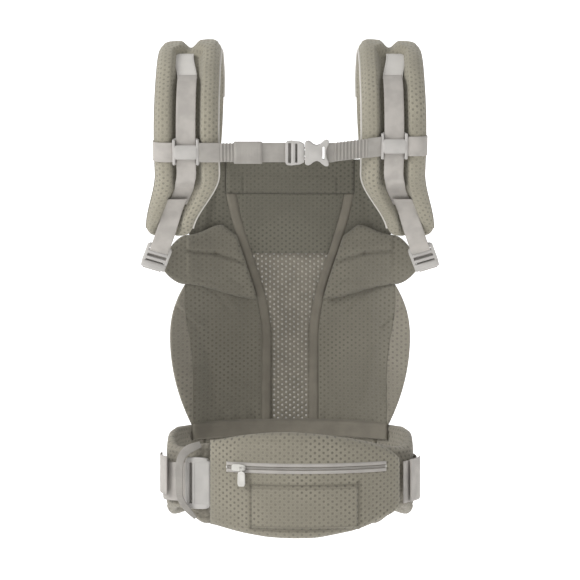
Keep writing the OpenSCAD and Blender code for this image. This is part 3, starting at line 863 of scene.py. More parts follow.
@dataclass
class BodyPanel:
    """The panel that holds the baby: open mesh, tapes, side panels, wings, yokes and arm bands."""

    dresser: Wardrobe
    belt_top: float = 59.0
    mesh_top: float = 300.0
    fold_z: float = 382.0
    head_w: float = 90.0
    top: float = 430.0
    seat_half: float = 165.0
    seat_depth: float = 44.0
    band_low: float = 252.0
    tape_half: float = 7.0
    hole_u: float = 5.7
    hole_v: float = 7.2
    fill: float = 0.4
    hole_wide: float = 1.55
    hole_tall: float = 1.75

    def y(self, x: Any, z: Any) -> Any:
        """Return how far back the panel's middle surface lies."""
        return (104 + self.seat_depth * np.exp(-((z - 165) / 120) ** 2)
                - mix(100, 35, smooth((z - 260) / 140)) * (np.abs(x) / 165) ** 2.4)

    def tape_x(self, z: Any) -> Any:
        """Return the tapes' distance from the middle."""
        return 34 + 51 * smooth((z - 180) / 230)

    def seat_edge(self, z: Any) -> Any:
        """Return the seat's half width."""
        low = 28 * (np.clip(180 - z, 0, None) / 119) ** 2
        high = 20 * (np.clip(z - 180, 0, None) / 74) ** 2.2
        return self.seat_half - low - high

    def wing_x(self, z: Any) -> Any:
        """Return where the side panel meets the padded wing."""
        return self.seat_edge(z) - 26 * np.sin(np.pi * (z - 55) / 200) - 1

    def slab(self, name: str, x: Grid, z: Grid, near: Grid, far: Grid, dimples: float = 0.5,
             back: Any = 0.0) -> Object:
        """Make a piece of the panel.

        Args:
            name: The piece's name.
            x: Each point's place across.
            z: Each point's height.
            near: Distance of the near face in front of the panel's surface.
            far: Distance of the far face behind it.
            dimples: Depth of the pressed dimples.
            back: How far the whole piece is moved back.

        Returns:
            The new object.
        """
        middle = self.y(x, z) + back
        front = np.stack([x, middle - near, z], axis=2)
        rear = np.stack([x, middle + far, z], axis=2)
        return slab_object(name, front, rear, np.stack([x, z], axis=2), dimples)

    def grid(self, low: float, high: float, inner: Callable[[Any], Any], outer: Callable[[Any], Any],
             step: float = 2.0) -> tuple[Grid, Grid, Grid, Grid]:
        """Return x, z and the places across and along of a piece between two edges."""
        rows = int((high - low) / step) + 1
        widest = max(abs(float(outer(z)) - float(inner(z))) for z in (low, (low + high) / 2, high))
        t, s = unit_grid(rows, max(6, int(widest / step)) + 1)
        z = mix(low, high, t)
        return -mix(inner(z), outer(z), s), z, s, t

    def centred(self, low: float, high: float, half: Callable[[Any], Any],
                step: float = 2.0) -> tuple[Grid, Grid, Grid, Grid]:
        """Return the same for a piece across the middle, from its half width."""
        return self.grid(low, high, half, lambda z: -half(z), step)

    def open_mesh(self) -> None:
        """Make the open mesh as a real net with staggered holes."""
        xa = (self.hole_u ** 2 - self.hole_v ** 2 / 4) / (2 * self.hole_u)
        xb = (self.hole_u ** 2 + self.hole_v ** 2 / 4) / (2 * self.hole_u)
        half_v = self.hole_v / 2
        corners = [(xb, 0), (xa, half_v), (-xa, half_v), (-xb, 0), (-xa, -half_v), (xa, -half_v)]
        verts: list[tuple[float, float]] = []
        known: dict[tuple[int, int], int] = {}
        faces: list[tuple[int, ...]] = []

        def vertex(x: float, z: float) -> int:
            key = (round(x * 20), round(z * 20))
            if key not in known:
                known[key] = len(verts)
                verts.append((x, z))
            return known[key]

        columns = int(90 / self.hole_u)
        for c in range(-columns, columns + 1):
            for r in range(int((self.mesh_top - self.belt_top) / self.hole_v) + 1):
                cx = c * self.hole_u
                cz = self.belt_top + 1 + (r + 0.5 * (c % 2)) * self.hole_v
                edge = float(self.tape_x(cz)) - self.tape_half
                if abs(cx) > edge + 3 or cz > self.mesh_top + 4:
                    continue
                outer = [vertex(cx + dx, cz + dz) for dx, dz in corners]
                inner = []
                for k in range(6):
                    a = math.pi / 3 * k
                    inner.append(len(verts))
                    verts.append((cx + self.hole_wide * math.cos(a), cz + self.hole_tall * math.sin(a)))
                faces += [(outer[k], outer[(k + 1) % 6], inner[(k + 1) % 6], inner[k]) for k in range(6)]
        flat = np.array(verts)
        raise_by = 0.45 * np.array([0.0 if i in set(known.values()) else 1.0 for i in range(len(verts))])
        points = np.stack([flat[:, 0], self.y(flat[:, 0], flat[:, 1]) + raise_by, flat[:, 1]], axis=1)
        corner_uv = np.array([flat[v] for face in faces for v in face])
        obj = make_object("centre_mesh_net", points, faces, corner_uv, outward=False)
        wall = obj.modifiers.new("wall", "SOLIDIFY")
        wall.thickness = 1.4 * MM
        wall.offset = 0
        add_subdivision(obj)
        net = self.dresser.dress(obj, Finish.NET, Slot.MESH, "root", "centre_mesh")
        x, z, *_ = self.centred(self.belt_top - 1, self.mesh_top + 2,
                                lambda z: self.tape_x(z) - self.tape_half + 1.5, 4.0)
        backing = self.slab("centre_mesh_lining", x, z, -1.5 + 0 * x, 2.2 + 0 * x, 0)
        self.dresser.dress(backing, Finish.LINING, Slot.MESH, "root")
        area = float(np.ptp(x, axis=1).mean() * np.ptp(z)) * MM * MM

    def build(self) -> None:
        """Make every piece of the panel."""
        self.open_mesh()
        self.upper()
        self.tapes()
        self.sides()
        self.arm_bands()
        self.hem()

    def upper(self) -> None:
        """Make the upper panel, the headrest, the fabric fold between them and the shoulder yokes."""
        x, z, s, t = self.centred(self.mesh_top - 2, self.fold_z - 0.2,
                                  lambda z: self.tape_x(z) - self.tape_half + 1)
        full = pillow(s, t / 2 + 0.25, 0.08, 0.05, 0.5) * (1 - 0.22 * bump(z, self.fold_z, 2.5))
        soft = 0.9 * np.sin(x / 19) * np.sin(z / 23 + 1) + 1.2 * bump(x, 38, 14)
        obj = self.slab("upper_panel_cloth", x, z, 5 * full + soft, 5 * full)
        self.dresser.dress(obj, Finish.UPPER, Slot.MESH, "root", "upper_panel")

        x, z, s, t = self.centred(self.fold_z + 0.2, self.top, lambda z: self.head_w + 0 * z)
        full = pillow(s, 0.5 + t / 2, 0.05, 0.08, 0.4) * (1 - 0.3 * bump(z, self.fold_z, 2.5))
        seam = 1.3 * bump(z, 407, 1.3) + 1.8 * bump(np.abs(x), 66, 1.4) * (z < 407)
        obj = self.slab("headrest_cloth", x, z, 6 * full - seam, 6 * full - seam)
        self.dresser.dress(obj, Finish.UPPER, Slot.MESH, "headrest", "headrest")

        x, z, s, t = self.centred(self.fold_z - 9, self.fold_z + 9, lambda z: self.head_w - 2 + 0 * z)
        full = pillow(s, t, 0.02, 0.3, 0.3)
        obj = self.slab("headrest_fold_cloth", x, z, 2.6 + 0 * full, 5.2 + 1.1 * full, 0)
        self.dresser.dress(obj, Finish.UPPER, Slot.MESH, "")
        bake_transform(obj)

        x, z, s, t = self.grid(self.band_low, self.top,
                               lambda z: np.maximum(self.tape_x(z) + 5,
                                                    np.where(z > 381.5, self.head_w + 0.06, 0)),
                               lambda z: mix(118, 165, smooth((z - 252) / 150)))
        full = pillow(s, t, 0.06, 0.03, 0.4)
        fold = 1.8 * bump(x + 118, (z - 340) * 0.12, 7) - 1.6 * bump(x + 104, (z - 380) * 0.2, 5)
        obj = self.slab("shoulder_yoke_cloth_left", x, z, 3.4 * full + fold, 3 * full - fold)
        self.dresser.pair(obj, Finish.UPPER, Slot.MESH, "shoulder_yoke", fill=self.fill)

    def tapes(self) -> None:
        """Make the two seat tapes, with a row of stitches along each edge."""
        x, z, s, t = self.grid(self.belt_top - 3, self.fold_z, lambda z: self.tape_x(z) - self.tape_half,
                               lambda z: self.tape_x(z) + self.tape_half, 1.6)
        full = pillow(s, t, 0.3, 0.01, 0.5)
        groove = 0.8 * (bump(s, 0.17, 0.05) + bump(s, 0.83, 0.05))
        obj = self.slab("seat_tape_cloth_left", x, z, 5.4 * full - groove, 5 * full - groove, 0)
        self.dresser.pair(obj, Finish.TAPE, Slot.MESH, "seat_tape", fill=self.fill)
        rows = []
        heights = np.linspace(self.belt_top + 2, self.fold_z - 4, 90)
        for side in (-1, 1):
            for place in (-4.6, 4.6):
                for face in (-1, 1):
                    xs = side * (self.tape_x(heights) + place)
                    ys = self.y(xs, heights) + face * 4.5
                    rows.append((np.stack([xs, ys, heights], axis=1),
                                 np.repeat([[0.0, face, 0.0]], len(heights), 0)))
        self.dresser.dress(stitch_rows("seat_tape_stitches", rows), Finish.THREAD, Slot.MESH, "root")

    def folds(self, x: Grid, z: Grid) -> Grid:
        """Return the soft folds and creases that run over the left side panel and wing."""
        lift = -4.0 * bump(x, -112 + 5 * np.sin(z / 38), 8) * smooth((z - 66) / 40) * smooth((246 - z) / 40)
        lift = lift + 1.8 * bump(x, -84 + 6 * np.sin(z / 30), 12) * smooth((z - 80) / 40)
        for start, stop, wide, deep in SIDE_CREASES:
            aside = wide * 1.6
            ridge = crease(x, z, (start[0] + aside, start[1] + aside), (stop[0] + aside, stop[1] + aside),
                           wide * 1.5)
            lift = lift - deep * crease(x, z, start, stop, wide) + 0.7 * deep * ridge
        return lift + 0.9 * np.sin(x / 3.4 + z / 60) * bump(z, self.belt_top, 20)

    def sides(self) -> None:
        """Make the side panels and the padded seat wings, which run into each other."""
        x, z, s, t = self.grid(self.belt_top - 3, self.band_low + 4, lambda z: self.tape_x(z) + 5.5,
                               lambda z: self.wing_x(z) + 0.2)
        full = pillow(s / 2, t, 0.05, 0.03, 0.45)
        rise = 3.5 * smooth((s - 0.55) / 0.45)
        fold = self.folds(x, z)
        obj = self.slab("side_panel_cloth_left", x, z, (4 + rise) * full + fold,
                        (4 + rise) * full - 0.8 * fold)
        self.dresser.pair(obj, Finish.SIDE, Slot.MESH, "side_panel", fill=self.fill)

        x, z, s, t = self.grid(self.belt_top - 1, self.band_low + 3, self.wing_x, self.seat_edge)
        full = pillow(0.5 + s / 2, t, 0.36, 0.04, 0.12)
        wrinkle = 0.6 * np.sin(z / 4.2 + x / 9) * bump(z, 110, 45) + self.folds(x, z)
        obj = self.slab("seat_wing_cloth_left", x, z, 7.5 * full + wrinkle * full,
                        7.5 * full - 0.8 * wrinkle * full)
        self.dresser.pair(obj, Finish.WING, Slot.KNIT, "seat_wing", fill=self.fill)

    def arm_bands(self) -> None:
        """Make the padded arm bands with their crease, end seam and tapering tab."""
        tip = 171.0
        s, t = unit_grid(60, 46)
        place = mix(55, tip, s)
        low = np.where(place < 145, mix(233, 254, smooth((place - 55) / 90)),
                       254 + 18 * ((place - 145) / 26) ** 2)
        high = np.where(place < 75, mix(322, 337, (place - 55) / 20),
                        np.where(place < 135, mix(337, 322, smooth((place - 75) / 60)),
                                 322 - 30 * (np.clip(place - 135, 0, None) / 36) ** 2))
        z = mix(low, high, t)
        x = -mix(self.tape_x(z) + self.tape_half - 1, tip, s)
        back = 14 * smooth((-x - 135) / 36)
        full = pillow(t, s, 0.16, 0.07, 0.3)
        tab = 3.2 * smooth((-x - 140) / 4)
        near = 12 + 7.5 * full - tab
        for start, stop, wide, deep in ARM_CREASES:
            near = near - deep * crease(x, z, start, stop, wide)
        near = near + 2.2 * crease(x, z, (-136, 308), (-76, 301), 6.0) - 2.4 * bump(x, -141, 1.3)
        obj = self.slab("arm_band_cloth_left", x, z, near, -12 + 6.5 * full, 0.5, back)
        self.dresser.pair(obj, Finish.SIDE, Slot.MESH, "arm_band", fill=self.fill)

    def hem(self) -> None:
        """Make the hem that joins the panel's lower edge to the belt."""
        columns, rows, half = 120, 16, 135
        x, z = np.meshgrid(np.linspace(-half, half, columns),
                           np.linspace(self.belt_top - 20, self.belt_top + 3.5, rows), indexing="ij")
        t, s = unit_grid(columns, rows)
        full = pillow(s, t, 0.14, 0.02, 0.4)
        groove = 0.9 * bump(z, self.belt_top - 3.4, 0.9) + 0.9 * bump(z, self.belt_top - 16, 0.9)
        near = (10.7 + 4.0 * smooth((85 - np.abs(x)) / 45)) * full - groove
        obj = self.slab("panel_hem_cloth", x, z, near, 5 * full, 0)
        self.dresser.dress(obj, Finish.TAPE, Slot.MESH, "root")


# ---------------------------------------------------------------- waist belt

@dataclass
class WaistBelt:
    """The padded belt round the waist: one front piece under the panel and two tapering wings."""

    dresser: Wardrobe
    line: tuple[tuple[float, float], ...] = ((0, 118), (-60, 111), (-114, 88), (-148, 48), (-158, 5),
                                             (-153, -24), (-137, -42), (-118, -52), (-101, -55))
    join: float = 0.28
    end: float = 0.98
    thick: float = 14.0
    half_high: float = 59.0
    half_low: float = 40.0
    end_up: float = 6.0
    end_down: float = 18.0
    step: float = 2.0
    fill: float = 0.6

    def cushion(self, name: str, start: float, stop: float) -> Object:
        """Make a stretch of the belt between two places on its line."""
        n = 60
        places = np.linspace(start, stop, n + 1)
        centre, outward = [], []
        for t in places:
            side = -1.0 if t < 0 else 1.0
            c = along(self.line, abs(t))
            d = unit(along(self.line, abs(t) + 0.01) - along(self.line, max(abs(t) - 0.01, 0)))
            centre.append((side * c[0], c[1]))
            outward.append((side * d[1], -d[0]))
        middle, out = np.array(centre), unit(np.array(outward))
        run = running(middle)
        even = np.linspace(0, run[-1], int(run[-1] / self.step) + 1)
        middle = at_lengths(even, run, middle)
        out = unit(at_lengths(even, run, out))
        place = np.interp(even, run, places)
        half = mix(self.half_high, self.half_low, smooth((np.abs(place) - 0.4) / 0.3))
        v = np.linspace(-1, 1, 52)
        rise = smooth((np.abs(place) - 0.7) / 0.24)
        top, foot = (half + self.end_up * rise)[:, None], -(half + self.end_down * rise)[:, None]
        z = mix(foot, top, v[None] / 2 + 0.5)
        rim = np.minimum(top - z, z - foot)
        s, t = np.meshgrid(v / 2 + 0.5, np.linspace(0, 1, len(even)), indexing="xy")
        full = pillow(s, t, 0.11, 0.02, 0.15)
        seam = 1.5 * bump(rim, 10, 1.6)
        ripple = 0.5 * np.sin(even[:, None] / 4.4 + z / 17) * bump(rim, 0, 16)
        grow = self.thick / 2 * full - seam + ripple
        flat = np.stack([np.repeat(middle[:, :1], len(v), 1), np.repeat(middle[:, 1:], len(v), 1), z],
                        axis=2)
        away = np.concatenate([out, np.zeros((len(out), 1))], axis=1)[:, None]
        uv = np.stack([z, np.repeat(even[:, None], len(v), 1)], axis=2)
        return slab_object(name, flat + away * grow[..., None], flat - away * grow[..., None], uv, 0.6)

    def build(self) -> None:
        """Make the front and both wings."""
        front = self.cushion("belt_front_cloth", -self.join + 0.001, self.join - 0.001)
        self.dresser.dress(front, Finish.WING, Slot.KNIT, "root", "belt_front")
        wing = self.cushion("belt_wing_cloth_left", self.join, self.end)
        self.dresser.pair(wing, Finish.WING, Slot.KNIT, "belt_wing", fill=self.fill)


# ---------------------------------------------------------------- shoulder straps

@dataclass
class ShoulderStrap:
    """A padded strap with two ridges, its webbing rail, label, piping and ladder lock."""

    dresser: Wardrobe
    strap_x: float = 133.0
    half_w: float = 41.0
    centre: tuple[float, float] = (10.0, 450.0)
    arc_r: float = 97.0
    arc_end: float = 35.0
    tail: float = 92.0
    ridge: float = 13.0
    groove: float = -2.0
    rail_r: float = 107.5
    web: float = 25.0
    thick: float = 1.6
    lock_at: tuple[float, float, float] = (-178.0, -10.0, 291.0)
    slant: float = 20.0
    label_lean: float = 7.0
    fill: float = 0.8

    def arc(self, degrees: float, r: float | None = None) -> np.ndarray:
        """Return a point on the rear curve, as its place across the body and its height."""
        r = self.arc_r if r is None else r
        a = math.radians(degrees)
        return np.array([self.centre[0] - r * math.cos(a), self.centre[1] + r * math.sin(a)])

    def tail_point(self, d: float, r: float | None = None) -> np.ndarray:
        """Return a point on the straight tail, d below the rear curve."""
        a = math.radians(-self.arc_end)
        return self.arc(-self.arc_end, r) + d * np.array([-math.sin(a), -math.cos(a)])

    def path(self) -> tuple[np.ndarray, np.ndarray]:
        """Return the strap's middle line and how wide it is at each point."""
        crown = [self.arc(self.arc_end), (-54, 530), (-33, 551), (-8, 565), (18, 570), (48, 562), (76, 541),
                 (94, 509), (98, 475), (93, 448), (86, 425)]
        tail = [self.tail_point(self.tail * (20 - i) / 20) for i in range(21)]
        curve = [self.arc(a) for a in np.arange(-self.arc_end + 1, self.arc_end, 1.0)]
        top = smooth_line(crown, 120)
        line = np.array(tail + curve + list(top))
        size = np.concatenate([mix(0.74, 1, smooth(np.arange(21) / 20)), np.ones(len(curve)),
                               mix(1, 0.84, np.clip((np.arange(121) / 120 - 0.6) / 0.4, 0, 1))])
        run = running(line)
        even = np.linspace(0, run[-1], int(run[-1] / 1.9) + 1)
        return at_lengths(even, run, line), np.interp(even, run, size)

    def shift(self, z: Any) -> Any:
        """Return how far outwards the strap's lower end leans."""
        return 27 * smooth((398 - z) / 75)

    def pad(self) -> Object:
        """Make the padded strap with its two full ridges and the channel between them."""
        line, size = self.path()
        run = running(line)
        out = beside(line)
        s = np.concatenate([-np.cos(np.linspace(0, math.pi / 2, 9))[:-1] * 0.22 - 0.78,
                            np.linspace(-0.78, 0.78, 34),
                            np.cos(np.linspace(math.pi / 2, 0, 9))[1:] * 0.22 + 0.78])
        edge = np.sqrt(np.clip(1 - (np.clip(np.abs(s) - 0.66, 0, 1) / 0.34) ** 2, 0.002, 1))
        crown = smooth((line[:, 1] - 553) / 9)[:, None] * (line[:, 0] < 60)[:, None]
        crown = crown + smooth((line[:, 0] - 20) / 30)[:, None] * (1 - crown)
        lobe = smooth((np.abs(s)[None] - mix(0.31, 0.0, crown)) / mix(0.24, 0.34, crown))
        valley = mix(self.groove, 0.25 * self.ridge, crown)
        high = np.where(np.abs(s)[None] < 0.66, mix(valley, self.ridge, lobe), self.ridge * edge[None])
        high = high + 2.2 * s[None] * smooth((line[:, 1] - 540) / 20)[:, None] * edge[None]
        low = np.repeat(-self.ridge * edge[None], len(line), 0)
        seam = 1.3 * bump(np.abs(s), 0.93, 0.03)
        taper = np.clip(run / 16, 0, 1)
        round_end = np.sqrt(np.clip(1 - (1 - taper) ** 2, 0.0, 1))
        rest_end = np.sqrt(np.clip(1 - (1 - np.clip((run[-1] - run) / 10, 0, 1)) ** 2, 0.0, 1))
        slim = (0.35 + 0.65 * round_end) * (0.55 + 0.45 * smooth(run / 34)) * (0.5 + 0.5 * rest_end)
        wide = size * self.half_w * (0.62 + 0.38 * round_end)
        cross = 0.35 * np.sin(run / 6.5)[:, None] * bump(np.abs(s), 0.55, 0.12)[None]
        x = -self.strap_x - self.shift(line[:, 1])[:, None] + (wide[:, None] - seam[None]) * s[None]
        faces = []
        for height, sign in ((high, 1.0), (low, -1.0)):
            h = height * (size * slim)[:, None] - cross * (sign > 0)
            faces.append(np.stack([x, line[:, :1] + out[:, :1] * h, line[:, 1:] + out[:, 1:] * h], axis=2))
        uv = np.stack([np.repeat((s * self.half_w)[None], len(line), 0), np.repeat(run[:, None], len(s), 1)],
                      axis=2)
        girth = arc_lengths(faces[0], 1)
        uv[..., 0] = girth - girth[:, len(s) // 2][:, None]
        return slab_object("shoulder_pad_cloth_left", faces[0], faces[1], uv, 0.6)

    def edge_line(self, side: float, off: float, low: float, high: float) -> np.ndarray:
        """Return a line along one edge of the strap between two running lengths."""
        line, size = self.path()
        run = running(line)
        keep = (run > low) & (run < high)
        line, size = line[keep], size[keep]
        x = -self.strap_x - self.shift(line[:, 1]) + side * (self.half_w * size + off)
        return np.stack([x, line[:, 0], line[:, 1]], axis=1)

    def build(self) -> None:
        """Make the left strap with everything on it, and its right-hand copy."""
        pad = self.pad()
        piping = tube_object("strap_piping_left", evenly(self.edge_line(1, 0.2, 10, 420), 2.5), 1.6, 10)
        # The tube on the outer edge is a real seam line, given a dark colour as painted shade of the edge
        # turning away.
        seam = tube_object("strap_seam_left", evenly(self.edge_line(-1, -0.2, 10, 420), 2.5), 1.1, 8)
        pieces = [(self.rail(), Finish.WEB, "rail_web"), (self.label(), Finish.LABEL, ""),
                  (self.stitching(), Finish.LIGHT_THREAD, ""), (self.loop(), Finish.WEB, "ladder_loop"),
                  (self.adjuster(), Finish.WEB, "adjust_web")]
        pair = self.dresser.pair
        pair(pad, Finish.STRAP, Slot.KNIT, "shoulder_pad", fill=self.fill)
        pair(piping, Finish.PIPING, Slot.WEB)
        pair(seam, Finish.TAPE, Slot.KNIT)
        for obj, finish, stem in pieces:
            pair(obj, finish, Slot.WEB, stem)
        pair(self.lock(), Finish.PLASTIC, Slot.PLASTIC, "ladder_lock", "ladder_lock_{side}")

    def on_strap(self, flat: np.ndarray, lean: float = 0.0) -> tuple[np.ndarray, np.ndarray]:
        """Return points in the strap's middle plane and their outward directions.

        Args:
            flat: The points, across the body and up.
            lean: How far the top leans outwards.

        Returns:
            The points and the directions.
        """
        line, out = upright(flat), upright(beside(flat))
        line[:, 0] = -self.strap_x - self.shift(flat[:, 1]) - lean * smooth((flat[:, 1] - 516) / 42)
        return line, out

    def lay(self, name: str, flat: np.ndarray, width: float, thick: float,
            lean: float = 0.0) -> Object:
        """Lay a ribbon along the strap's middle, from points across the body and up."""
        line, out = self.on_strap(flat, lean)
        return Ribbon(width, thick).build(name, line, repeated((1.0, 0.0, 0.0), len(flat)), out)

    def rail_line(self) -> np.ndarray:
        """Return the webbing rail's line, across the body and up."""
        floor = self.arc_r + self.groove + self.thick
        points = [self.tail_point(d, mix(self.rail_r, floor, smooth((d - 2) / 22)))
                  for d in (44, 36, 27, 22, 18, 13, 9, 4)]
        points += [self.arc(a, self.rail_r) for a in range(-35, 34, 4)]
        points += [self.arc(38, self.rail_r - 1.5) + (0, 1), self.arc(44, self.rail_r - 5) + (0, 3)]
        return evenly(smooth_line(points, 90), 2.5)

    def rail(self) -> Object:
        """Make the webbing rail that the chest strap's slider climbs."""
        return self.lay("rail_web_cloth_left", self.rail_line(), self.web, self.thick)

    def groove_line(self, low: float, high: float, lift: float) -> np.ndarray:
        """Return a line on the channel's floor between two heights on the near side."""
        line, _ = self.path()
        near = np.arange(len(line)) < len(line) * 0.6
        line = line[near & (line[:, 1] > low) & (line[:, 1] < high)]
        return line + beside(line) * (self.groove + lift)

    def label(self) -> Object:
        """Make the plain label sewn over the rail's upper end."""
        return self.lay("strap_label_left", self.groove_line(519, 556, 4.6), 26.0, 0.9, self.label_lean)

    def stitching(self) -> Object:
        """Make the stitches that hold the label and the rail's lower end."""
        def across(at: int, half: float) -> tuple[np.ndarray, np.ndarray]:
            points = 9
            return (full[at] + np.linspace(-half, half, points)[:, None] * np.array([1.0, 0, 0]),
                    repeated(out[at], points))

        on_label, on_rail = 11.2, 11
        full, out = self.on_strap(self.groove_line(521, 554, 5.2), self.label_lean)
        rows = [(full + [side, 0, 0], out) for side in (-on_label, on_label)]
        rows += [across(at, on_label) for at in (0, -1)]
        full, out = self.on_strap(self.rail_line())
        full = full + out * 0.85
        rows += [across(at, on_rail) for at in (1, 5)]
        rows += [(full[1:6] + [side, 0, 0], out[1:6]) for side in (-on_rail, on_rail)]
        for side in (-on_rail, on_rail):
            rows.append((np.stack([full[1] - [side, 0, 0], full[3], full[5] + [side, 0, 0]]), out[1:6:2]))
        return stitch_rows("strap_stitches_left", rows, 2.2, 1.0, 0.3)

    def lock_matrix(self) -> Matrix:
        """Return the ladder lock's place."""
        return (Matrix.Translation(Vector(self.lock_at)) @ Matrix.Rotation(math.radians(self.arc_end), 4,
                                                                           "X")
                @ Matrix.Rotation(math.radians(self.slant), 4, "Y"))

    def band(self, name: str, route: Sequence[tuple[float, float]], width: float, n: int = 60) -> Object:
        """Lay a ribbon in the ladder lock's own frame, along points given as depth and height."""
        flat = evenly(smooth_line(route, n), 2.2)
        place = self.lock_matrix()
        line, out = moved(upright(flat), place), turned(upright(beside(flat)), place)
        level = smooth((flat[:, 1:] - 20) / 60)
        sideways = repeated((1.0, 0, 0), len(flat))
        across = unit(mix(turned(sideways, place), sideways, level))
        return Ribbon(width, self.thick).build(name, line, across, out)

    def loop(self) -> Object:
        """Make the folded webbing from the ladder lock up into the channel, with its free end curling up."""
        route = [(-3.2, 9.5), (-4.9, 12.5), (-5.2, 18), (-4.6, 30), (-1.5, 44), (3.6, 58), (7.4, 70),
                 (8.0, 80), (6.6, 88), (4.0, 92)]
        return self.band("ladder_loop_cloth_left", route, self.web)

    def adjuster(self) -> Object:
        """Make the adjusting webbing behind the ladder lock."""
        route = [(4.0, -25), (4.0, -18), (3.8, -10), (3.7, -3), (3.7, 7)]
        return self.band("adjust_web_cloth_left", route, self.web)

    def lock(self) -> Object:
        """Make the ladder lock: a rounded frame with three slots, round bars and a thick lower lip."""
        half = 17.0
        outline = [(-half, -13), (-half + 4, -18), (half - 4, -18), (half, -13), (half, 15), (half - 3, 18),
                   (-half + 3, 18), (-half, 15)]
        body = Bench.plate(outline, -2.5, 2.5, 1.4)
        slots = [Bench.block((-13.4, -4, z - 2.6), (13.4, 4, z + 2.6), 0.8) for z in (-8.6, 1.0, 10.4)]
        Bench.cut(body, *slots)
        lip = Bench.rod((0, -1.4, -14.2), 5.4, 33, "X", 28, (1, 0.85, 1))
        bars = [Bench.rod((0, -0.6, z), 2.3, 28, "X", 16) for z in (-3.8, 5.7)]
        Bench.weld(body, lip, *bars)
        return Bench.place(body, "ladder_lock_plastic_left", self.lock_matrix())


# ---------------------------------------------------------------- chest strap

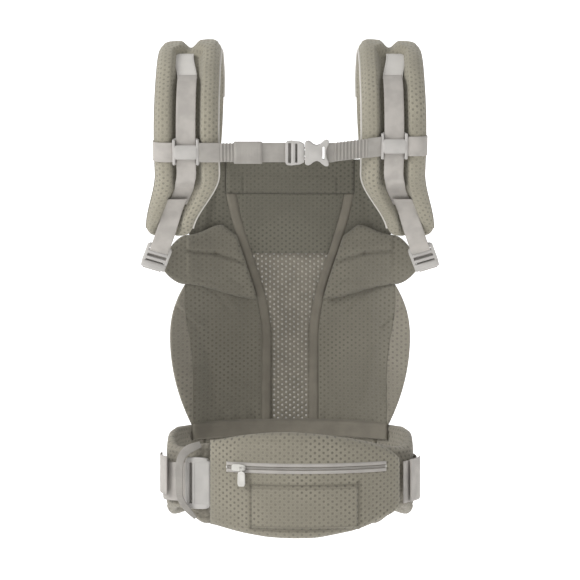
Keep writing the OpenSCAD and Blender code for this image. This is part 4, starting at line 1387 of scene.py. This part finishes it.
@dataclass
class ChestStrap:
    """The chest strap: sliders, wrapping bands, webbing, keeper and side-squeeze buckle.

    Its pieces are made level with the rear curve's centre, with the radius along -Y, and then turned down.
    """

    dresser: Wardrobe
    centre: tuple[float, float, float] = (0.0, 10.0, 450.0)
    angle: float = 15.0
    right_rise: float = 4.0
    climb: float = 0.1245
    climb_from: float = 52.0
    strap_x: float = 133.0
    web: float = 25.0
    thick: float = 1.6
    web_face: float = 111.7
    shell_near: float = 118.2
    shell_far: float = 110.2

    def place(self) -> Matrix:
        """Return the chest strap's place."""
        return Matrix.Translation(Vector(self.centre)) @ Matrix.Rotation(math.radians(self.angle), 4, "X")

    def ribbon(self, name: str, route: Sequence[tuple[float, float]],
               ripple: tuple[float, float] | None = None, step: float = 2.5, climb: float = 0.0) -> Object:
        """Lay the strap's webbing along points given as place across and radius.

        Args:
            name: The piece's name.
            route: The points.
            ripple: The stretch across that is gathered into ripples, or None.
            step: Distance between the ribbon's sections.
            climb: How steeply it rises beyond the buckle's end.

        Returns:
            The new object.
        """
        flat = evenly(smooth_line(route, 80), 0.7 if ripple else step)
        out2 = beside(flat)
        width = np.full(len(flat), self.web)
        if ripple:
            low, high = ripple
            inside = smooth((flat[:, 0] - low) / 4) * smooth((high - flat[:, 0]) / 4)
            wave = np.sin(flat[:, 0] * 2 * math.pi / 4.4)
            flat = flat + out2 * (0.9 * wave * inside)[:, None]
            width = width - 1.0 * inside * (1 + 0.5 * wave)
        height = climb * np.clip(flat[:, 0] - self.climb_from, 0, None)
        line = moved(np.stack([flat[:, 0], -flat[:, 1], height], axis=1), self.place())
        out = turned(np.stack([out2[:, 0], -out2[:, 1], np.zeros(len(flat))], axis=1), self.place())
        across = turned(repeated((0.0, 0, 1.0), len(flat)), self.place())
        return Ribbon(self.web, self.thick).build(name, line, across, out, width)

    def block(self, x: tuple[float, float], z: tuple[float, float], radius: tuple[float, float],
              round_by: float = 0.0) -> Object:
        """Add a block between two places across, two heights and two radii."""
        return Bench.block((x[0], -radius[1], z[0]), (x[1], -radius[0], z[1]), round_by)

    def slider(self) -> Object:
        """Make a slider: two posts, bars behind the rail's webbing and a full bar in front of it."""
        x = -self.strap_x
        inner, outer, tall, radii = 13.2, 17.0, (-16.6, 16.6), (103, 113.4)
        body = self.block((x - outer, x - inner), tall, radii, 1.7)
        right = self.block((x + inner, x + outer), tall, radii, 1.7)
        front = Bench.rod((x, -111.2, 0), 9.8, 30, "X", 40, (1, 0.38, 0.95))
        ribs = [Bench.rod((x, -104.4, z), 1.5, 30, "X", 16, (1, 0.9, 1.6)) for z in (-14.8, 14.8)]
        Bench.weld(body, right, front, *ribs)
        return Bench.place(body, "chest_slider_plastic_left", self.place())

    def band(self) -> Object:
        """Make the band that wraps the padded strap's outer edge."""
        x = -self.strap_x
        route = [(x - 14.8, 109.8), (x - 19, 111.2), (x - 27, 111.6), (x - 35, 109), (x - 40, 104.5),
                 (x - 42.4, 98), (x - 42.2, 90), (x - 38, 84.4), (x - 30, 82.6)]
        return self.ribbon("chest_band_cloth_left", route)

    def webs(self) -> None:
        """Make the webbing on both sides of the buckle, flat and then gathered."""
        r = self.web_face + self.thick / 2
        x = -self.strap_x
        left = self.ribbon("chest_web_cloth_left",
                           [(x + 14.8, 109.4), (x + 18.5, 112.4), (-104, r), (-90, r), (-72, r),
                                                    (-50, r), (-40, r), (-34, 111.2), (-20, 110.9),
                                                    (-5, 110.8), (12, 110.6)], (-91, -70))
        right = self.ribbon("chest_web_cloth_right", [(44.5, r - 0.8), (52, r), (70, r), (90, r), (104, r),
                                                      (-x - 18.5, 112.4), (-x - 14.8, 109.4)],
                            (54, 101), climb=self.climb)
        self.dresser.dress(left, Finish.ELASTIC, Slot.WEB, "chest_strap", "chest_web_left")
        self.dresser.dress(right, Finish.ELASTIC, Slot.WEB, "chest_strap", "chest_web_right")

    def keeper(self) -> Object:
        """Make the soft sleeve that holds the strap's spare end."""
        start, long, tall = -71.6, 36.2, 28.8
        x, z = np.meshgrid(np.linspace(start, start + long, 24), np.linspace(-tall / 2, tall / 2, 22),
                           indexing="ij")
        full = pillow((x - start) / long, (z + tall / 2) / tall, 0.08, 0.12, 0.35)
        wave = 0.25 * np.sin(x * 2 * math.pi / 3.6) * full
        middle = self.web_face + 0.8
        near = np.stack([x, -(middle + 2.6 * full + wave), z], axis=2)
        far = np.stack([x, -(middle - 2.2 * full + wave), z], axis=2)
        place = self.place()
        shape = x.shape + (3,)
        uv = np.stack([z, x], axis=2)
        obj = slab_object("chest_keeper_cloth", moved(near.reshape(-1, 3), place).reshape(shape),
                          moved(far.reshape(-1, 3), place).reshape(shape), uv)
        add_subdivision(obj)
        return obj

    def female(self) -> Object:
        """Make the buckle's socket half, waisted above and below with a window on each side."""
        top = [(19, 13.4), (20.6, 15.2), (23.6, 15.8), (26.4, 14.4), (29.6, 11.6), (33.6, 9.8), (37.6, 11),
               (41.4, 14.4), (44.4, 16.6), (47.4, 17), (49.6, 15.2), (49, 11), (46.8, 6.4), (46, 2)]
        outline = top + [(x, -z) for x, z in reversed(top)]
        body = Bench.plate(outline, -self.shell_near, -self.shell_far, 1.8, 4)
        hollow = (self.shell_far + 1.7, self.shell_near - 1.7)
        Bench.cut(body, self.block((18, 38), (-11.4, 11.4), hollow),
                  *[self.block((22.4, 32.4), heights, hollow, 0.8) for heights in ((9.2, 20), (-20, -9.2))],
                  self.block((41.4, 43.8), (-8.4, 8.4), (self.shell_far - 1, self.shell_near + 1), 0.8))
        ridge = Bench.rod((32, -self.shell_near + 0.5, 0), 6, 16, "X", 32, (1, 0.2, 0.95))
        Bench.weld(body, ridge)
        return Bench.place(body, "chest_female_plastic", self.place())

    def male(self) -> Object:
        """Make the buckle's plug half: a frame with two webbing slots and a tongue."""
        near, far = self.shell_near - 1.3, self.shell_far + 1.8
        foot = [(-6, -12.6), (-3.6, -15.6), (2, -16), (13, -14.6), (18.4, -11.6)]
        outline = foot + [(x, -z) for x, z in reversed(foot)]
        body = Bench.plate(outline, -near, -far, 1.5, 4)
        Bench.cut(body, self.block((-2.4, 1.4), (-13, 13), (far - 2, near + 2), 0.6),
                  self.block((6.6, 9.4), (-12.4, 12.4), (far - 2, near + 2), 0.6))
        bar = Bench.rod((4.0, -near + 0.9, 0), 2.1, 26, "Z", 20, (1, 0.7, 1))
        tongue = self.block((17, 36), (-3, 3), (far + 0.4, near - 0.9), 0.8)
        diamond = Bench.plate([(11.2, 0), (14.2, 7.6), (17.2, 0), (14.2, -7.6)], -near - 0.6, -near + 0.6,
                              0.4, 2)
        Bench.weld(body, bar, tongue, diamond)
        return Bench.place(body, "chest_male_plastic", self.place())

    def prong(self, side: int, name: str) -> Object:
        """Make one sprung prong, with its thumb pad at the socket's window."""
        near, far = self.shell_near - 2.3, self.shell_far + 2.3
        points = [(18.2, 7.4), (22, 7.6), (25, 8.2), (27.5, 9.4), (30, 9.8), (32.4, 9.2), (34, 7.6),
                  (34, 6.4), (30, 6.2), (25, 5.8), (18.2, 5.6)]
        outline = [(x, side * z) for x, z in points]
        return Bench.place(Bench.plate(outline, -near, -far, 0.5, 2), name, self.place())

    def build(self) -> None:
        """Make the whole chest strap."""
        hub = Matrix.Translation(Vector(self.centre) * MM)
        turn = hub @ Matrix.Rotation(math.radians(-self.right_rise), 4, "X") @ hub.inverted()
        slider, band = self.slider(), self.band()
        self.dresser.pair(slider, Finish.PLASTIC, Slot.PLASTIC, "chest_slider", "chest_strap", turn=turn)
        self.dresser.pair(band, Finish.WEB, Slot.WEB, "chest_band", "chest_strap", turn=turn)
        self.webs()
        self.dresser.dress(self.keeper(), Finish.ELASTIC, Slot.WEB, "chest_strap", "chest_keeper")
        self.dresser.dress(self.female(), Finish.PLASTIC, Slot.PLASTIC, "chest_strap", "chest_buckle_female")
        self.dresser.dress(self.male(), Finish.PLASTIC, Slot.PLASTIC, "chest_buckle", "chest_buckle_male")
        self.dresser.prongs(self.prong, "chest_prong")


# ---------------------------------------------------------------- lumbar pad

@dataclass
class LumbarPad:
    """The padded plate at the small of the back, with its sewn pocket and curved zip."""

    dresser: Wardrobe
    radius: float = 205.0
    centre: tuple[float, float] = (15.0, 75.0)
    left: float = -106.0
    right: float = 146.0
    pocket: tuple[float, float, float, float] = (-50.0, 87.0, -55.0, 1.0)
    zip_z: float = 22.0
    zip_left: float = -81.0
    zip_right: float = 123.0
    slider_at: float = -65.0

    def top(self, x: Any) -> Any:
        """Return the pad's upper edge."""
        return np.interp(x, [-100, -64, -30, 0, 40, 83, 112, 132, 141, 146],
                         [54, 62, 66, 67, 64, 58, 51, 42, 34, 25])

    def low(self, x: Any) -> Any:
        """Return the pad's lower edge."""
        return np.interp(x, [-100, -64, -30, 0, 34, 88, 112, 130, 141, 146],
                         [-54, -62, -66, -67, -66.5, -58, -50, -42, -36, -30])

    def thickness(self, x: Any) -> Any:
        """Return how thick the pad is."""
        return mix(12, 22, smooth((x + 100) / 45)) - 10 * smooth((x - 110) / 36)

    def on(self, x: Any, z: Any, off: Any = 0.0) -> np.ndarray:
        """Return points at a place across, a height and a distance out of the pad's face."""
        a = np.arcsin((x - self.centre[0]) / self.radius)
        r = self.radius + off
        return np.stack(np.broadcast_arrays(self.centre[0] + r * np.sin(a), self.centre[1] - r * np.cos(a),
                                            z), axis=-1)

    def out(self, x: Any) -> np.ndarray:
        """Return the outward direction at a place across."""
        a = np.arcsin((x - self.centre[0]) / self.radius)
        return np.stack([np.sin(a), -np.cos(a), np.zeros_like(a)], axis=-1)

    def arc_u(self, x: Any) -> Any:
        """Return the running length round the pad's face."""
        return self.radius * np.arcsin((x - self.centre[0]) / self.radius)

    def pad(self) -> Object:
        """Make the pad with its pressed dimples, edge seam and sewn lines."""
        u = np.arange(float(self.arc_u(self.left)), float(self.arc_u(self.right)), 2.0)
        x = self.centre[0] + self.radius * np.sin(u / self.radius)
        edge = np.convolve(np.pad(self.top(x), 4, "edge"), np.ones(9) / 9, "valid")
        foot = np.convolve(np.pad(self.low(x), 4, "edge"), np.ones(9) / 9, "valid")
        t = np.linspace(0, 1, 72)
        z = mix(foot[:, None], edge[:, None], t[None])
        xx = np.repeat(x[:, None], len(t), 1)
        s = np.repeat(np.linspace(0, 1, len(x))[:, None], len(t), 1)
        full = pillow(np.repeat(t[None], len(x), 0), s, 0.095, 0.07, 0.08)
        pl, pr, pb, pt = self.pocket
        inside = (xx > pl - 3) & (xx < pr + 3)
        lines = 1.1 * (bump(z, pt, 1.5) + bump(z, pb, 1.5)) * inside
        lines = np.maximum(lines,
                           1.1 * (bump(xx, pr, 1.6) + bump(xx, pl, 1.6)) * (z < pt + 6) * (z > pb - 3))
        lines = np.maximum(lines, 0.9 * bump(xx, pr + 1, 1.8) * (z < 6))
        along_zip = (xx > self.zip_left - 2) * (xx < self.zip_right + 2)
        under = smooth((8 - np.abs(z - self.zip_z)) / 3) * along_zip
        crown = 0.8 * np.sin(math.pi * t)[None] * np.sin(math.pi * s)
        half = self.thickness(xx) / 2
        soft = LATTICE.depth(u[:, None] + 0 * z, z) * (0.35 + 0.5 * smooth((xx + 90) / 150)) * (under < 0.5)
        near = self.on(xx, z, -half + half * full - lines - under + crown - 0.6 - soft * (full > 0.5))
        far = self.on(xx, z, -half - half * full)
        uv = np.stack([np.repeat(u[:, None], len(t), 1), z], axis=2)
        return slab_object("lumbar_pad_cloth", near, far, uv)

    def strip(self, name: str, x: tuple[float, float], z: tuple[float, float], off: tuple[float, float],
              edge: float = 0.12, step: float = 2.0, dimples: float = 0.0) -> Object:
        """Make a flat strip on the pad's face.

        Args:
            name: The piece's name.
            x: Its stretch across.
            z: Its lower and upper heights.
            off: How far out of the face its back and its front lie.
            edge: How much of its height each edge takes to reach full thickness.
            step: Distance between its points.
            dimples: Depth of the pressed dimples.

        Returns:
            The new object.
        """
        xs = np.linspace(x[0], x[1], int((x[1] - x[0]) / step) + 2)
        zs = np.linspace(z[0], z[1], max(5, int((z[1] - z[0]) / step) + 2))
        xx, zz = np.meshgrid(xs, zs, indexing="ij")
        s, t = unit_grid(len(xs), len(zs))
        size = x[1] - x[0]
        full = pillow(t, s, edge, min(0.4, edge * (z[1] - z[0]) / size + 0.002), 0.1)
        near = self.on(xx, zz, mix(off[0], off[1], full))
        far = self.on(xx, zz, off[0] - 0.2)
        uv = np.stack([self.arc_u(xx), zz], axis=2)
        return slab_object(name, near, far, uv, dimples)

    def line(self, x: tuple[float, float], z: tuple[float, float], off: float,
             n: int = 60) -> tuple[np.ndarray, np.ndarray]:
        """Return a line on the pad's face and its outward directions, for stitches."""
        xs, zs = np.linspace(x[0], x[1], n), np.linspace(z[0], z[1], n)
        return self.on(xs, zs, off), self.out(xs)

    def zip_parts(self) -> None:
        """Make the zip's tapes, coil, stops, slider and pull."""
        lo, hi, z = self.zip_left, self.zip_right, self.zip_z
        for word, low, high in (("upper", z + 1.5, z + 6.5), ("lower", z - 6.5, z - 1.5)):
            tape = self.strip(f"zip_tape_{word}", (lo, hi), (low, high), (-0.5, 0.4), 0.16, 1.6)
            self.dresser.dress(tape, Finish.ZIP_TAPE, Slot.ZIP, "root",
                               *(["zip_tapes"] if word == "upper" else []))
        rows = []
        for place in (z - 0.62, z + 0.62):
            rows.append(self.line((lo + 2.5, hi - 2.5), (place, place), 0.55, 90))
        coil = stitch_rows("zip_coil_teeth", rows, 0.95, 0.35, 0.62)
        self.dresser.dress(coil, Finish.ZIP_COIL, Slot.ZIP, "root", "zip_coil")
        bed = self.strip("zip_bed", (lo + 1, hi - 1), (z - 1.7, z + 1.7), (-0.6, 0.15), 0.2, 3.0)
        self.dresser.dress(bed, Finish.ZIP_TAPE, Slot.ZIP, "root")
        for word, d in (("upper", 1.7), ("lower", -1.7)):
            line, _ = self.line((lo + 1, hi - 1), (z + d, z + d), 0.15)
            shadow = tube_object(f"zip_shadow_{word}", evenly(line, 3), 0.26, 6)
            self.dresser.dress(shadow, Finish.TAPE, Slot.ZIP, "root")
        seams = [self.line((lo + 1, hi - 1), (z + d, z + d), 0.5, 100) for d in (5.3, -5.3)]
        self.dresser.dress(stitch_rows("zip_stitches", seams, 2.2, 1.1, 0.26), Finish.LIGHT_THREAD, Slot.ZIP,
                           "root")
        stops = [Bench.block((0, -0.9, z - 1.5), (2, 0.6, z + 1.5), 0.4) for _ in range(2)]
        for stop, x in zip(stops, (lo, hi - 2)):
            stop.data.transform(self.zip_place(x + 1) @ Matrix.Translation(Vector((-1, 0, 0))))
        Bench.weld(stops[0], stops[1])
        self.dresser.dress(Bench.place(stops[0], "zip_stops_metal", Matrix.Identity(4)), Finish.ZIP_METAL,
                           Slot.ZIP, "root", "zip_stops")
        self.dresser.dress(self.zip_slider(), Finish.ZIP_METAL, Slot.ZIP, "zip_slider", "zip_slider")
        self.dresser.dress(self.zip_pull(), Finish.ZIP_METAL, Slot.ZIP, "zip_pull", "zip_pull")

    def zip_place(self, x: float) -> Matrix:
        """Return the frame on the pad's face at a place across, with -Y pointing out."""
        a = math.asin((x - self.centre[0]) / self.radius)
        return (Matrix.Translation(Vector((*self.centre, 0))) @ Matrix.Rotation(a, 4, "Z")
                @ Matrix.Translation(Vector((0, -self.radius, 0))))

    def zip_slider(self) -> Object:
        """Make the slider's body with the bridge that carries the pull."""
        z = self.zip_z
        outline = [(-8, z - 2.4), (-6, z - 4.2), (2, z - 4.6), (9, z - 3.6), (11, z - 2), (11, z + 2),
                   (9, z + 3.6), (2, z + 4.6), (-6, z + 4.2), (-8, z + 2.4)]
        body = Bench.plate(outline, -4.6, -2.5, 0.7, 3)
        posts = [Bench.block((x - 0.9, -7.9, z - 2.9), (x + 0.9, -4.2, z + 0.9), 0.7) for x in (4.3, 9.7)]
        pin = Bench.rod((7, -6.6, z - 1), 0.8, 5.6, "X", 14)
        Bench.weld(body, pin, *posts)
        return Bench.place(body, "zip_slider_metal", self.zip_place(self.slider_at))

    def zip_pull(self) -> Object:
        """Make the pull tab: a rounded tag with a slot, on a narrow neck."""
        z = self.zip_z - 1
        tag = Bench.plate([(2.6, z - 4.4), (4, z - 3.4), (10, z - 3.4), (11.4, z - 4.4), (12, z - 7),
                           (12.2, z - 19),
                           (10.6, z - 22), (3.4, z - 22), (1.8, z - 19), (2, z - 7)], -7.8, -5.6, 0.9, 3)
        neck = Bench.block((6.0, -7.6, z - 5), (8.0, -5.6, z + 0.6), 0.6)
        Bench.weld(tag, neck)
        Bench.cut(tag, Bench.block((3.8, -9, z - 20.2), (10.2, -7.4, z - 6.4), 0.3),
                  Bench.rod((7, -6.6, z), 0.86, 8, "X", 14))
        return Bench.place(tag, "zip_pull_metal", self.zip_place(self.slider_at))

    def build(self) -> None:
        """Make the pad, its pocket, its stitches and its zip."""
        pad = self.dresser.dress(self.pad(), Finish.PAD, Slot.KNIT, "root", "lumbar_pad")
        pl, pr, pb, pt = self.pocket
        patch = self.strip("lumbar_pocket_cloth", (pl + 1.5, pr - 1.5), (pb + 1.5, pt - 1.5), (-0.8, 0.9),
                           0.05, dimples=0.35)
        self.dresser.dress(patch, Finish.PAD, Slot.KNIT, "root", "lumbar_pocket")
        inset = 3.2
        l, r, b, t = pl + inset, pr - inset, pb + inset, pt - inset
        sides = (((l, r), (t, t)), ((l, r), (b, b)), ((l, l), (b, t)), ((r, r), (b, t)))
        edges = [self.line(xs, zs, 0.8) for xs, zs in sides]
        self.dresser.dress(stitch_rows("pocket_stitches", edges, 2.4, 1.2, 0.28), Finish.THREAD, Slot.KNIT,
                           "root")
        # Thin dark tubes along the pocket's edges and sewn lines: painted shadow lines in the seams.
        seams = [((pl - 1, pr + 1), (pt, pt)), ((pl - 1, pr + 1), (pb, pb)), ((pl, pl), (pb, pt)),
                 ((pr, pr), (-57, pt + 6)),
                 ((pl, pr), (pt - 4.2, pt - 4.2)), ((pl, pr), (pb + 4.2, pb + 4.2))]
        for k, (xs, zs) in enumerate(seams):
            line, _ = self.line(xs, zs, 0.15 if k < 4 else 0.75)
            tube = tube_object(f"pocket_seam_{k}", evenly(line, 2.5), 0.36, 6)
            self.dresser.dress(tube, Finish.SEAM, Slot.KNIT, "root")
        xs = np.linspace(self.left + 8, self.right - 12, 120)
        rows = []
        for line, sign in ((self.top(xs), -1), (self.low(xs), 1)):
            rows.append((self.on(xs, line + sign * 9.5, -0.45), self.out(xs)))
        self.dresser.dress(stitch_rows("lumbar_stitches", rows, 2.4, 1.2, 0.26), Finish.THREAD, Slot.KNIT,
                           "root")
        self.zip_parts()


# ---------------------------------------------------------------- waist closure

@dataclass
class WaistClosure:
    """The waist buckle, its webbing on both sides and the elastic safety loop."""

    dresser: Wardrobe
    at: tuple[float, float] = (-118.0, -66.0)
    turn: float = -20.0
    level: float = -4.0
    height: float = 67.0
    mouth: float = 18.0
    web: float = 50.0

    def place(self) -> Matrix:
        """Return the buckle's place."""
        return Matrix.Translation(Vector((*self.at, self.level))) @ Matrix.Rotation(math.radians(self.turn),
                                                                                    4, "Z")

    def band(self, name: str, route: Sequence[tuple[float, float]], low: float, high: float,
             thick: float = 1.6) -> Object:
        """Stand a band of webbing on its edge along points in X and Y."""
        flat = evenly(smooth_line(route, 70), 2.5)
        d = headings(flat)
        line = np.concatenate([flat, np.full((len(flat), 1), (low + high) / 2)], axis=1)
        out = np.stack([-d[:, 1], d[:, 0], np.zeros(len(flat))], axis=1)
        across = repeated((0.0, 0, 1.0), len(flat))
        return Ribbon(high - low, thick).build(name, line, across, out)

    def male(self) -> Object:
        """Make the plug half: a broad plate with a webbing slot, a raised bar and notched corners."""
        h, m = self.height / 2, self.mouth - 0.6
        foot = [(-18, -h + 4), (-15, -h + 0.8), (-4, -h), (6, -h + 0.3), (m - 4, -h + 1.4),
                (m - 3.6, -h + 4.4), (m, -h + 5)]
        outline = foot + [(x, -z) for x, z in reversed(foot)]
        body = Bench.plate(outline, -4.4, 2.2, 1.7, 4)
        slot = Bench.block((-12.0, -6, -26.5), (-7.6, 6, 26.5), 0.8)
        face = Bench.block((-4.5, -6, -h + 7), (m - 3.4, -3.9, h - 7), 0.5)
        Bench.cut(body, slot, face)
        bar = Bench.rod((-14.6, -3.2, 0), 2.3, self.height - 10, "Z", 20, (1, 0.85, 1))
        tongue = Bench.block((m - 2, -2.6, -5), (self.mouth + 22, 1.7, 5), 0.8)
        Bench.weld(body, bar, tongue)
        return Bench.place(body, "waist_male_plastic", self.place())

    def female(self) -> Object:
        """Make the socket half, with prong windows and the bar for its webbing."""
        h, m = self.height / 2 - 2, self.mouth
        foot = [(m, -h + 2), (m + 3, -h), (m + 12, -h + 1.5), (m + 24, -h + 0.5), (m + 33, -h + 3),
                (m + 36, -h + 7)]
        body = Bench.plate(foot + [(x, -z) for x, z in reversed(foot)], -4.5, 4.5, 1.8, 4)
        deep = 3.1
        Bench.cut(body, Bench.block((m - 1, -deep, -h + 4), (m + 25, deep, h - 4)),
                  *[Bench.block((m + 8, -deep, low), (m + 18, deep, low + 12), 0.8)
                    for low in (h - 8, -h - 4)],
                  Bench.block((m + 29, -6, -25.5), (m + 32, 6, 25.5), 0.6))
        return Bench.place(body, "waist_female_plastic", self.place())

    def prong(self, side: int, name: str) -> Object:
        """Make one sprung prong with its hooked end."""
        m = self.mouth
        points = [(m - 0.1, 24.4), (m + 6, 24.8), (m + 9, 25.6), (m + 12, 27), (m + 17, 27), (m + 20, 23.6),
                  (m + 20, 20.6), (m + 12, 20.4), (m + 5, 19.6), (m - 0.1, 19.2)]
        outline = [(x, side * z) for x, z in points]
        return Bench.place(Bench.plate(outline, -2.6, 1.7, 0.6, 2), name, self.place())

    def loop(self) -> Object:
        """Make the elastic safety loop, wide above and narrow below."""
        points = [(-116, -63, 46), (-134, -70, 38), (-142, -73, 24), (-143, -74, 1), (-142, -73.5, -21),
                  (-134, -73, -35), (-122.5, -68, -49)]
        line = evenly(smooth_line(points, 60), 1.0)
        wave = 0.35 * np.sin(running(line) * 2 * math.pi / 2.8)
        across = unit(np.cross(headings(line), [-0.28, -0.96, 0.0]))
        out = np.cross(across, headings(line))
        out *= np.sign(-(out @ np.array([0.28, 0.96, 0.0])))[:, None]
        place = np.linspace(0, 1, len(line))
        width = mix(11.5, 8.0, smooth(place)) - 3.0 * bump(place, 0, 0.08) - 3.0 * bump(place, 1, 0.08)
        return Ribbon(12, 1.4).build("safety_loop_elastic", line + out * wave[:, None], across, out, width)

    def build(self) -> None:
        """Make the whole closure."""
        turn = math.radians(self.turn)
        along_x = np.array([math.cos(turn), math.sin(turn)])
        along_y = np.array([-along_x[1], along_x[0]])
        at = np.array(self.at)
        straight = [tuple(at + x * along_x + 3.6 * along_y) for x in (8, -8, -22, -36)]
        half = self.web / 2
        bands = [("waist_web_cloth_left", straight + [(-163, -41), (-167.5, -24), (-168, 4), (-164.5, 28)],
                  self.level - half, self.level + half, 1.6, "waist_web_left"),
                 ("waist_layer_cloth_left", [(-160.6, -54), (-168, -38), (-172, -20), (-171.5, -2)],
                  -half + 4, half + 4, 1.6, ""),
                 ("waist_web_cloth_right",
                  [(146.5, -76), (157, -58), (165, -38), (168, -18), (168, 4), (164.5, 28)],
                  -29, 25, 1.6, "waist_web_right"),
                 ("waist_fold_cloth", [(156, -69), (164, -54), (169.5, -40), (171.5, -24)], -28, 27, 2.2,
                  "waist_web_fold")]
        for name, route, low, high, thick, node in bands:
            self.dresser.dress(self.band(name, route, low, high, thick), Finish.WEB, Slot.WEB, "root",
                               *([node] if node else []))
        socket = [tuple(at + x * along_x - 1.2 * along_y) for x in (self.mouth + 30, self.mouth + 45,
                                                                    self.mouth + 60)]
        self.dresser.dress(self.band("waist_female_web_cloth", socket, self.level - half,
                                     self.level + half), Finish.WEB, Slot.WEB, "root",
                           "waist_female_web")
        self.dresser.dress(self.loop(), Finish.ELASTIC, Slot.WEB, "root", "safety_loop")
        self.dresser.dress(self.male(), Finish.PLASTIC, Slot.PLASTIC, "waist_buckle", "waist_buckle_male")
        self.dresser.dress(self.female(), Finish.PLASTIC, Slot.PLASTIC, "root", "waist_buckle_female")
        self.dresser.prongs(self.prong, "waist_prong")


# ---------------------------------------------------------------- studio

@dataclass
class Studio:
    """A plain pale studio: floor, soft lights and a level camera."""

    floor_z: float = -0.35
    floor_half: float = 8.0
    floor_front: float = -6.0
    floor_back: float = 3.0
    floor_run: float = 14.0
    curve: float = 1.5
    camera_y: float = -1.93
    camera_z: float = 0.246
    lens: float = 89.27
    sensor: float = 36.0
    floor_glow: float = 0.50
    air_glow: float = 0.66

    def floor(self) -> None:
        """Make the floor with its curved backdrop."""
        bpy.ops.object.select_all(action="DESELECT")
        bpy.ops.mesh.primitive_grid_add(x_subdivisions=2, y_subdivisions=64, size=2, location=(0, 0, 0))
        obj = bpy.context.active_object
        obj.name = "studio_floor"
        for vert in obj.data.vertices:
            t = (vert.co.y + 1) / 2 * self.floor_run + self.floor_front
            quarter = self.curve * math.pi / 2
            bend = max(0.0, min(t - self.floor_back, quarter))
            over = max(0.0, t - self.floor_back - quarter)
            y = min(t, self.floor_back) + self.curve * math.sin(bend / self.curve)
            z = self.floor_z + self.curve * (1 - math.cos(bend / self.curve)) + over
            vert.co = (vert.co.x * self.floor_half, y, z)
        bpy.ops.object.shade_smooth()
        nodes = Nodes("studio_white")
        nodes.finish((0.93, 0.93, 0.93, 1.0), None, 0, 0.9)
        nodes.shader.inputs["Emission Color"].default_value = (1, 1, 1, 1)
        nodes.shader.inputs["Emission Strength"].default_value = self.floor_glow
        obj.data.materials.append(nodes.material)

    def light(self, name: str, place: Point, target: Point, size: float, power: float) -> None:
        """Add a soft square light."""
        data = bpy.data.lights.new(name, "AREA")
        data.size = size
        data.energy = power
        obj = bpy.data.objects.new(name, data)
        obj.location = place
        obj.rotation_euler = (Vector(target) - Vector(place)).to_track_quat("-Z", "Y").to_euler()
        bpy.context.scene.collection.objects.link(obj)

    def build(self) -> None:
        """Make the floor, the lights, the sky's even glow and the camera."""
        self.floor()
        world = bpy.data.worlds.new("studio_air")
        world.use_nodes = True
        glow = world.node_tree.nodes["Background"]
        glow.inputs["Color"].default_value = (1, 1, 1, 1)
        glow.inputs["Strength"].default_value = self.air_glow
        bpy.context.scene.world = world
        self.light("key", (-2.0, -1.3, 1.5), (0, 0, 0.25), 1.0, 42)
        self.light("fill", (1.6, -1.8, 0.9), (0, 0, 0.2), 1.6, 3)
        self.light("rim", (0.4, 1.8, 1.9), (0, 0, 0.3), 1.6, 10)
        data = bpy.data.cameras.new("camera")
        data.lens = self.lens
        data.sensor_width = self.sensor
        data.clip_start, data.clip_end = 0.05, 40
        obj = bpy.data.objects.new("camera", data)
        obj.location = (0, self.camera_y, self.camera_z)
        obj.rotation_euler = (math.pi / 2, 0, 0)
        bpy.context.scene.collection.objects.link(obj)
        bpy.context.scene.camera = obj
        bpy.context.scene.view_settings.view_transform = "Standard"


def main() -> None:
    """Load the frame, dress it, and light it."""
    logging.basicConfig(level=logging.INFO, format="%(name)s: %(message)s")
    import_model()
    dresser = Wardrobe()
    for part in (BodyPanel(dresser), WaistBelt(dresser), ShoulderStrap(dresser), ChestStrap(dresser),
                 LumbarPad(dresser), WaistClosure(dresser)):
        part.build()
    Studio().build()


if __name__ == "__main__":
    main()
